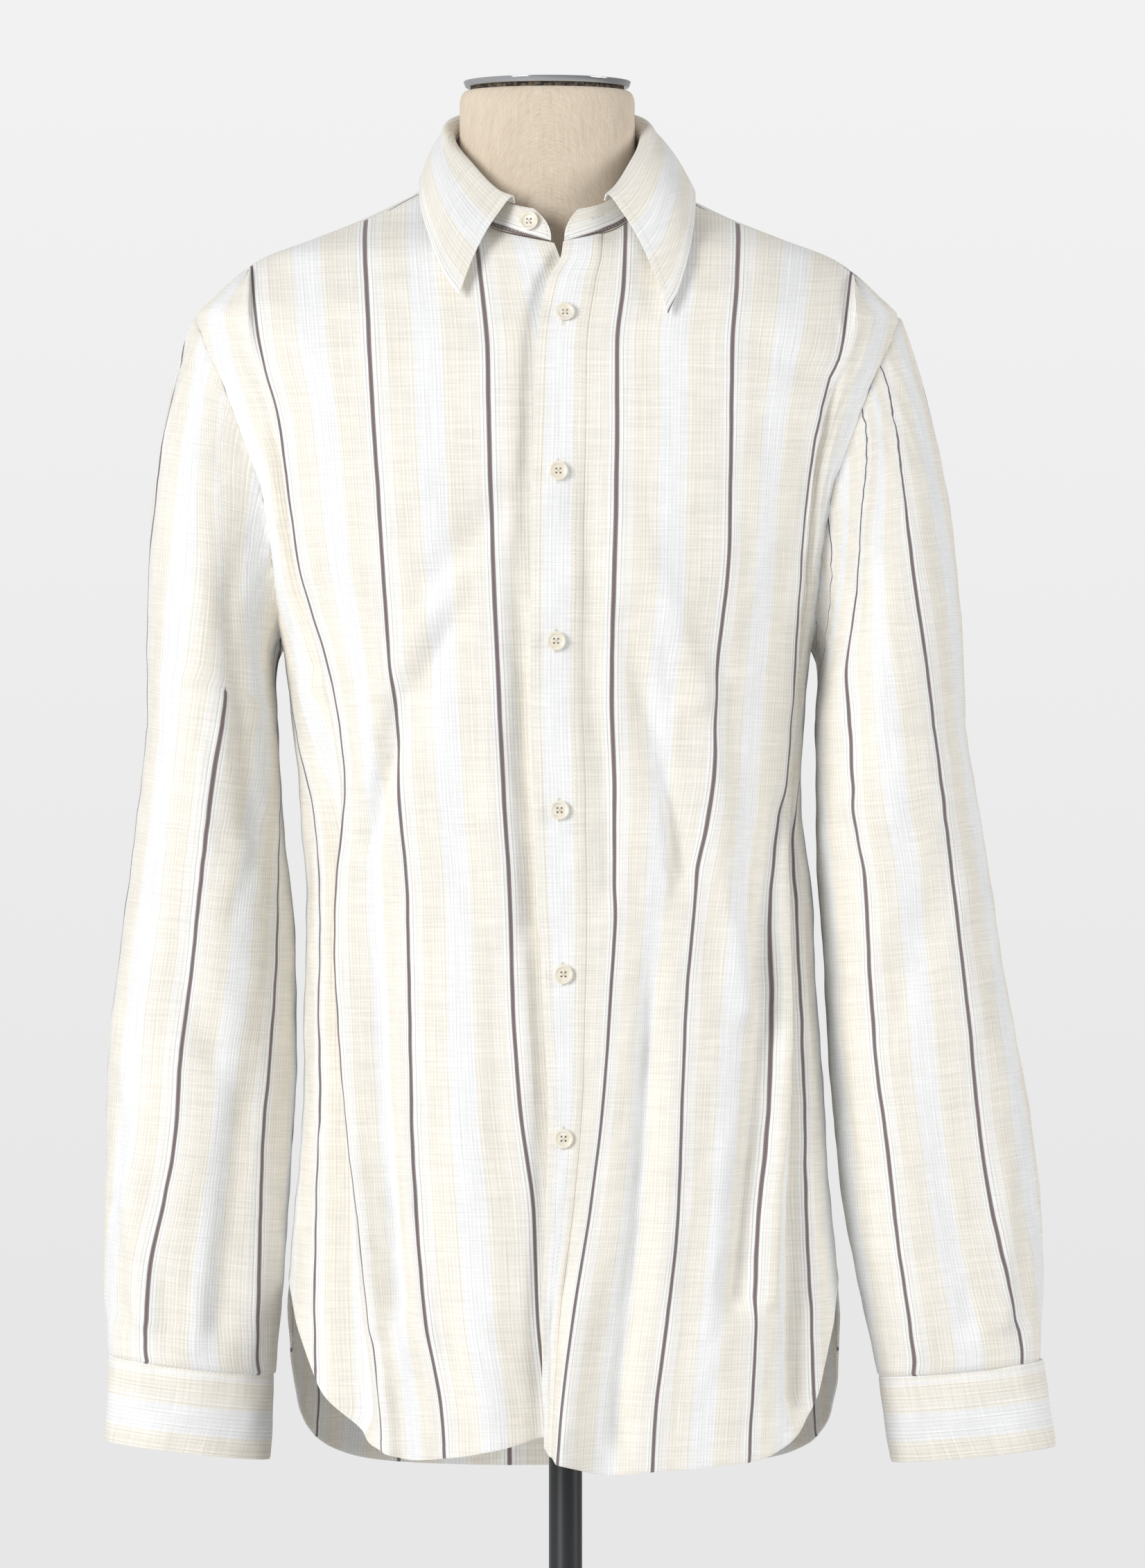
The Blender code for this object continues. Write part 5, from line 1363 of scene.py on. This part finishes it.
# Cuffs: interlined bands cut across the stripes, closed by one button at the back, with a line
# of stitching inside every edge
CUFF_MIDDLE = {-1: (-0.2243, -0.2268), 1: (0.2370, 0.2450)}
CUFF_HEIGHT = {-1: (0.3718, 0.3200), 1: (0.3696, 0.3175)}
CUFF_HALF, CUFF_DEPTH, CUFF_WALL = 0.0482, 0.029, 0.0019
CUFF_OPENING, CUFF_LAP, LAP_OUT, LAP_FROM, LAP_RUN = 3.75, 0.42, 0.0027, 1.25, 0.7
CUFF_FLARE, CUFF_PUFF = 0.004, 0.0004
CUFF_AROUND, CUFF_ROWS, CUFF_TOP_LINE = 150, 28, 0.0036
CUFF_TOP_STITCH, CUFF_STITCH = 0.0018, 0.0048
cuff_grids = {}
for side, name in ((-1, "right"), (1, "left")):
    angle = CUFF_OPENING + np.linspace(0, 2 * np.pi + CUFF_LAP, CUFF_AROUND + 1)
    lift = LAP_OUT * ease((angle - angle[-1] + LAP_FROM) / LAP_RUN)
    bands = []
    for down in np.arange(CUFF_ROWS + 1) / CUFF_ROWS:
        middle = mix(*CUFF_MIDDLE[side], down)
        puffed = lift + CUFF_PUFF * math.sin(math.pi * down) + crinkle(angle * 0.045, down * 0.05)
        x = middle - side * (CUFF_HALF + puffed) * np.cos(angle)
        y = SLEEVE_AXIS - (CUFF_DEPTH + CUFF_FLARE * (1 - down) + puffed) * np.sin(angle)
        z = mix(*CUFF_HEIGHT[side], down) + SLEEVE_TILT[side] * (x - middle)
        bands.append(np.stack((x, y, z), -1))
    grid = np.array(bands).transpose(1, 0, 2)
    out = normals(grid, (CUFF_MIDDLE[side][0], SLEEVE_AXIS))
    cuff_grids[name] = grid, out
    cuff = cloth_piece(
        f"shirt_cuff_{name}", grid, reach_along(grid, 1) + CUFF_TOP_LINE, reach_along(grid),
        f"cuff_{name}", thinned(grid, CUFF_WALL),
    )
    cuff_seams = stitched(
        f"cuff_{name}", grid, out, CUFF_WALL,
        (1, False, CUFF_TOP_STITCH), (1, True, CUFF_STITCH, slice(3, -3)),
        (0, False, CUFF_STITCH, slice(1, -3)), (0, True, CUFF_STITCH, slice(1, -3)),
    )

# Collar stand: an interlined band sewn to the neckline, open in front, one stripe at its seam
STAND_ENDS = ((-3.9, 2.9), (-15.0, 12.0))
STAND_COLUMNS, STAND_ROWS, STAND_RAISE, STAND_WALL = 120, 12, 0.0011, 0.0018
STAND_STRIPE, STAND_STRIPE_RISE, STAND_STRIPE_RUN = -0.0014, 0.11, 0.028
STAND_SEAM_STITCH, STAND_TOP_STITCH, STAND_END_STITCH = 0.0016, 0.0018, 0.0020


def stand_top(angle, grow=0.0, height="stand"):
    half, middle, front, back = STAND_RING
    return ring_point(angle, half + grow, middle, front + grow, back + grow, height)


def round_neck(start, end, count):
    """Angles from the right front end round the back to the left front end."""
    angles = np.linspace(start, end - 360, count + 1)
    return np.where(angles < -180, angles + 360, angles)


levels = []
for up in np.arange(STAND_ROWS + 1) / STAND_ROWS:
    start, end = (mix(low, high, up**2.6) for low, high in zip(*STAND_ENDS))
    angles = round_neck(start, end, STAND_COLUMNS)
    levels.append(mix(neck_point(angles) + np.array((0, 0, STAND_RAISE)), stand_top(angles), up))
stand_cloth = np.array(levels).transpose(1, 0, 2)
stand_out = normals(stand_cloth, (AXIS, 0))
stand_along, stand_up = reach_along(stand_cloth), reach_along(stand_cloth, 1)
from_end = np.minimum(stand_along, stand_along[-1:] - stand_along)
stripe_up = STAND_STRIPE + STAND_STRIPE_RISE * np.minimum(from_end, STAND_STRIPE_RUN)
stand = cloth_piece(
    "shirt_collar_stand", stand_cloth, stand_up - stripe_up, stand_along, "collar_stand",
    thinned(stand_cloth, STAND_WALL),
)

# Collar leaf: folded over the stand, with two long points, stitched inside its edge. It is cut
# along the stripes, which follow its outer edge
LEAF_ENDS, LEAF_RAISE, LEAF_WALL = (-26.4, 31.6), 0.0013, 0.0017
LEAF_COLUMNS, LEAF_ROWS = 132, 44
LEAF_FLAT, LEAF_AREA, LEAF_STITCH = (0.42, 0.078), 0.0215, 0.0050
# The leaf's stripes: how much closer they lie than on the cloth, and the room that the next
# dark stripe must be left beyond the fold
LEAF_GATHER, LEAF_CLEAR, LEAF_HIDDEN, LEAF_TIP = 0.82, 0.0065, 0.0060, 0.021
CREST_OUT, CREST_ROUND = 0.0042, 0.0016
LEAF_EDGE = {-1: table((
    "s x y z",
    (0.00, -0.0628, -0.0940, 1.0085),
    (0.10, -0.0715, -0.0860, 1.0215),
    (0.25, -0.0805, -0.0690, 1.0440),
    (0.40, -0.0865, -0.0360, 1.0670),
    (0.52, -0.0878, -0.0080, 1.0800),
    (0.68, -0.0830, 0.0360, 1.0840),
    (0.84, -0.0560, 0.0790, 1.0870),
    (0.94, -0.0290, 0.0915, 1.0880),
    (1.00, -0.0110, 0.0940, 1.0880),
)), 1: table((
    "s x y z",
    (0.00, 0.0606, -0.0950, 0.9975),
    (0.10, 0.0665, -0.0880, 1.0115),
    (0.25, 0.0735, -0.0700, 1.0370),
    (0.40, 0.0770, -0.0370, 1.0610),
    (0.52, 0.0778, -0.0080, 1.0735),
    (0.68, 0.0700, 0.0360, 1.0830),
    (0.84, 0.0380, 0.0790, 1.0865),
    (0.94, 0.0080, 0.0915, 1.0880),
    (1.00, -0.0110, 0.0940, 1.0880),
))}


def through(lines, count):
    """Smooth curve through each point's row of lines, drawn with an even step."""
    run = reach_along(lines).mean(1)
    tangent = np.gradient(lines, run, axis=0)
    spots = np.linspace(0, run[-1], count + 1)
    k = np.clip(np.searchsorted(run, spots) - 1, 0, len(run) - 2)
    step = (run[k + 1] - run[k])[:, None, None]
    t = (spots - run[k])[:, None, None] / step
    return swept(lines[k], lines[k + 1], step * tangent[k], step * tangent[k + 1], t)


angle = round_neck(*LEAF_ENDS, LEAF_COLUMNS)
fold_base = stand_top(angle) + np.array((0, 0, LEAF_RAISE))
crest = stand_top(angle, CREST_OUT, "crest")
from_point = 1 - np.abs(np.linspace(-1, 1, LEAF_COLUMNS + 1))
half = LEAF_COLUMNS // 2
sides = ((-1, from_point[: half + 1]), (1, from_point[half + 1 :]))
leaf_edge = np.stack([
    np.concatenate([at(LEAF_EDGE[side], name, part, "s") for side, part in sides])
    for name in "xyz"
], -1)
lines = [fold_base, mix(fold_base, crest, 0.6) + np.array((0, 0, CREST_ROUND)), crest]
for down in (np.arange(6) + 1) / 6:
    bow = mix(down, 1 - (1 - down) ** 3, 0.35)
    lines.append(crest + (leaf_edge - crest) * np.array((bow, bow, down)))
leaf_cloth = through(np.array(lines), LEAF_ROWS).transpose(1, 0, 2)
leaf_out = normals(leaf_cloth, (AXIS, 0), 0.03)
leaf_down, leaf_along = reach_along(leaf_cloth, 1), reach_along(leaf_cloth)
closest = (REPEAT - LEAF_CLEAR) / (leaf_down[:, -1:] - LEAF_HIDDEN)
leaf_down = leaf_down * np.minimum(LEAF_GATHER, closest)
to_point = leaf_along[-1, -1] - leaf_along[:, -1:]
stripe_in = mix(0.0002, 0.0018, ease(to_point / LEAF_TIP))
leaf_across = leaf_down[:, -1:] - leaf_down + stripe_in
leaf = cloth_piece(
    "shirt_collar_leaf", leaf_cloth, leaf_across, leaf_along, "collar_leaf",
    thinned(leaf_cloth, LEAF_WALL),
)
leaf_seams = stitched(
    "collar_leaf", leaf_cloth, leaf_out, LEAF_WALL, (1, True, LEAF_STITCH, slice(3, -3)),
    (0, False, LEAF_STITCH, slice(4, -5)), (0, True, LEAF_STITCH, slice(4, -5)),
)

# Buttons: nine turned resin discs with a raised rim and four holes, sewn on with crossed thread.
# One is modelled and the others are its copies
BUTTON_RADIUS, BUTTON_DEPTH, BUTTON_GAP = 0.0057, 0.0026, 0.0006
BUTTON_RIM, BUTTON_SLOPE, BUTTON_DISH, BUTTON_EDGE = 0.0014, 0.0005, 0.0008, 0.00035
BUTTON_BACK, HOLE_RADIUS, HOLE_OUT = 0.86, 0.00062, 0.0012
PLACKET_BUTTONS = (0.9973, 0.9036, 0.8041, 0.7047, 0.6081, 0.5116)
PLACKET_HOLE = np.linspace(-0.0072, 0.0072, 7)
STAND_BUTTON, STAND_HOLE = 0.85 / 30, np.linspace(0.0145, 0.0240, 6)
CUFF_BUTTON = 24.5 / 26
# Threads: crossed in the holes of a button, whipped round a buttonhole, and the dark slit, a line of
# beads whose dark colour is painted shade inside the cut
CROSS_PITCH, CROSS_SIZE, CROSS_LIFT = 0.0042, (0.0034, 0.0006, 0.0005), 0.00012
WHIP_PITCH, WHIP_FROM, WHIP_LONG, WHIP_SIZE = 0.0005, 0.00030, 0.0011, (0.0011, 0.0003, 0.0003)
SLIT_PITCH, SLIT_SIZE, SLIT_SUNK = 0.0022, (0.0026, 0.00034, 0.0002), 0.00005

resin, tree, shader = surface_material("button_resin", (0.87, 0.82, 0.70), 0.30, 0.0, 0.4, 0.15)
shaded(
    tree, shader, "Base Color", speckle(tree, 230, 4.0),
    (0.3, (0.80, 0.73, 0.58)), (0.55, (0.88, 0.83, 0.72)), (0.8, (0.92, 0.90, 0.82)),
)
shader.inputs["Subsurface Weight"].default_value = 0.12
shader.inputs["Subsurface Radius"].default_value = (0.002, 0.0016, 0.0012)
bumped(tree, shader, speckle(tree, 900, 2.0), 0.00002, 0.4)

bpy.ops.object.select_all(action="DESELECT")
first_button = cylinder("button_model", 48, BUTTON_RADIUS, -BUTTON_DEPTH / 2, BUTTON_DEPTH / 2)
pick(first_button, lambda up: up > 0.9)
bpy.ops.mesh.inset(thickness=BUTTON_RIM)
bpy.ops.mesh.inset(thickness=BUTTON_SLOPE)
bpy.ops.transform.translate(value=(0, 0, -BUTTON_DISH))
pick(first_button, lambda up: up < -0.9)
bpy.ops.transform.resize(value=(BUTTON_BACK, BUTTON_BACK, 1))
bevelled(first_button, BUTTON_EDGE, 2)
drills = []
for across_hole in (-1, 1):
    for up_hole in (-1, 1):
        place = (across_hole * HOLE_OUT, up_hole * HOLE_OUT, 0)
        bpy.ops.mesh.primitive_cylinder_add(vertices=12, radius=HOLE_RADIUS, depth=0.01, location=place)
        drills.append(bpy.context.object)
for drill in drills:
    drill.select_set(True)
bpy.ops.object.join()
drill = bpy.context.object
holes = first_button.modifiers.new("Holes", "BOOLEAN")
holes.operation, holes.solver, holes.object = "DIFFERENCE", "EXACT", drill
bpy.ops.object.select_all(action="DESELECT")
bpy.context.view_layer.objects.active = first_button
first_button.select_set(True)
bpy.ops.object.modifier_apply(modifier="Holes")
first_button.select_set(False)
bpy.data.objects.remove(drill, do_unlink=True)


def between(grid, i, k):
    """Value of a grid at a fractional column and row."""
    a, b = min(int(i), grid.shape[0] - 2), min(int(k), grid.shape[1] - 2)
    low_pair, high_pair = (mix(grid[a, b + n], grid[a + 1, b + n], i - a) for n in (0, 1))
    return mix(low_pair, high_pair, k - b)


button_threads, slits, hole_edges = [], [], []


def sewn_button(place, point, outward, wall):
    """A copy of the button on the cloth's outside, and the runs of its crossed threads."""
    out = Vector(outward).normalized()
    turned_to = out.to_track_quat("Z", "Y")
    middle = Vector(point) + out * (wall / 2 + BUTTON_GAP + BUTTON_DEPTH / 2)
    disc = bpy.data.objects.new(f"shirt_button_{place}", first_button.data.copy())
    disc.data.name = disc.name
    bpy.context.scene.collection.objects.link(disc)
    disc.data.transform(Matrix.LocRotScale(middle, turned_to, None))
    finished(disc, resin, [f"button_{place}"], 35)
    level = BUTTON_DEPTH / 2 - BUTTON_DISH + CROSS_LIFT
    for slope in (-1, 1):
        ends = [Vector((way * HOLE_OUT, way * slope * HOLE_OUT, level)) for way in (-1.25, 1.25)]
        line = np.array([tuple(middle + turned_to @ end) for end in ends])
        button_threads.append((line, np.array([tuple(out)] * 2)))


def buttonhole(line, out):
    """Slit and whipped edges of a buttonhole along a short line."""
    slits.append((line, out))
    ahead = line[-1] - line[0]
    length = np.linalg.norm(ahead)
    ahead /= length
    aside = np.cross(out[0], ahead)
    for spot in np.arange(0, length, WHIP_PITCH):
        for way in (-1, 1):
            start = line[0] + ahead * spot + aside * way * WHIP_FROM
            stitch = np.array((start, start + aside * way * WHIP_LONG))
            hole_edges.append((stitch, out[:1].repeat(2, 0)))


def placket_at(grid, height):
    """Value of a grid of the placket in its middle, at a height."""
    levels = placket_grid[PLACKET_COLUMNS // 2, :, 2]
    row = np.interp(height, levels, np.arange(len(levels)))
    return between(grid, (PLACKET_COLUMNS - 1) / 2, row)


for number, height in enumerate(PLACKET_BUTTONS, 1):
    point, out = (placket_at(grid, height) for grid in (placket_grid, placket_out))
    sewn_button(str(number), point, out, PLACKET_WALL)
    buttonhole(*(
        np.array([placket_at(grid, height + rise) for rise in PLACKET_HOLE])
        for grid in (placket_grid, placket_out)
    ))
placket_seams = stitched(
    "placket", placket_grid, placket_out, PLACKET_WALL,
    (0, False, PLACKET_STITCH), (0, True, PLACKET_STITCH),
)

middle = (STAND_COLUMNS * STAND_BUTTON, STAND_ROWS / 2)
sewn_button("stand", between(stand_cloth, *middle), between(stand_out, *middle), STAND_WALL)
left_end, left_end_out = (grid[::-1, STAND_ROWS // 2 + 1] for grid in (stand_cloth, stand_out))
hole_out = read_at(STAND_HOLE, reach_along(left_end), left_end_out)
hole_line = read_at(STAND_HOLE, reach_along(left_end), left_end)
buttonhole(hole_line + hole_out * (STAND_WALL - PLACKET_WALL) / 2, hole_out)

middle = (CUFF_AROUND * CUFF_BUTTON, CUFF_ROWS / 2)
for name in ("right", "left"):
    point, out = (between(grid, *middle) for grid in cuff_grids[name])
    sewn_button(f"cuff_{name}", point, out, CUFF_WALL)
bpy.data.objects.remove(first_button, do_unlink=True)

# Painted shade: the dark colour of the buttonhole slits stands for the shade inside each cut
shadowed, tree, shader = surface_material("slit_shadow", (0.16, 0.13, 0.11), 0.95)
shaded(
    tree, shader, "Base Color", speckle(tree, 1500, 2.0),
    (0.3, (0.10, 0.08, 0.07)), (0.7, (0.30, 0.25, 0.20)),
)
crossed = laid_thread("button_threads", button_threads, 0, CROSS_PITCH, CROSS_SIZE)
whipped = laid_thread("buttonhole_threads", hole_edges, PLACKET_WALL / 2, WHIP_LONG, WHIP_SIZE)
slit_lift = PLACKET_WALL / 2 - SLIT_SUNK
opened = laid_thread("buttonhole_slits", slits, slit_lift, SLIT_PITCH, SLIT_SIZE, shadowed)
stand_seams = stitched(
    "collar_stand", stand_cloth, stand_out, STAND_WALL, (1, False, STAND_SEAM_STITCH),
    (1, True, STAND_TOP_STITCH, slice(1, 11)), (1, True, STAND_TOP_STITCH, slice(-11, -1)),
    (0, False, STAND_END_STITCH, slice(1, -1)), (0, True, STAND_END_STITCH, slice(1, -1)),
)
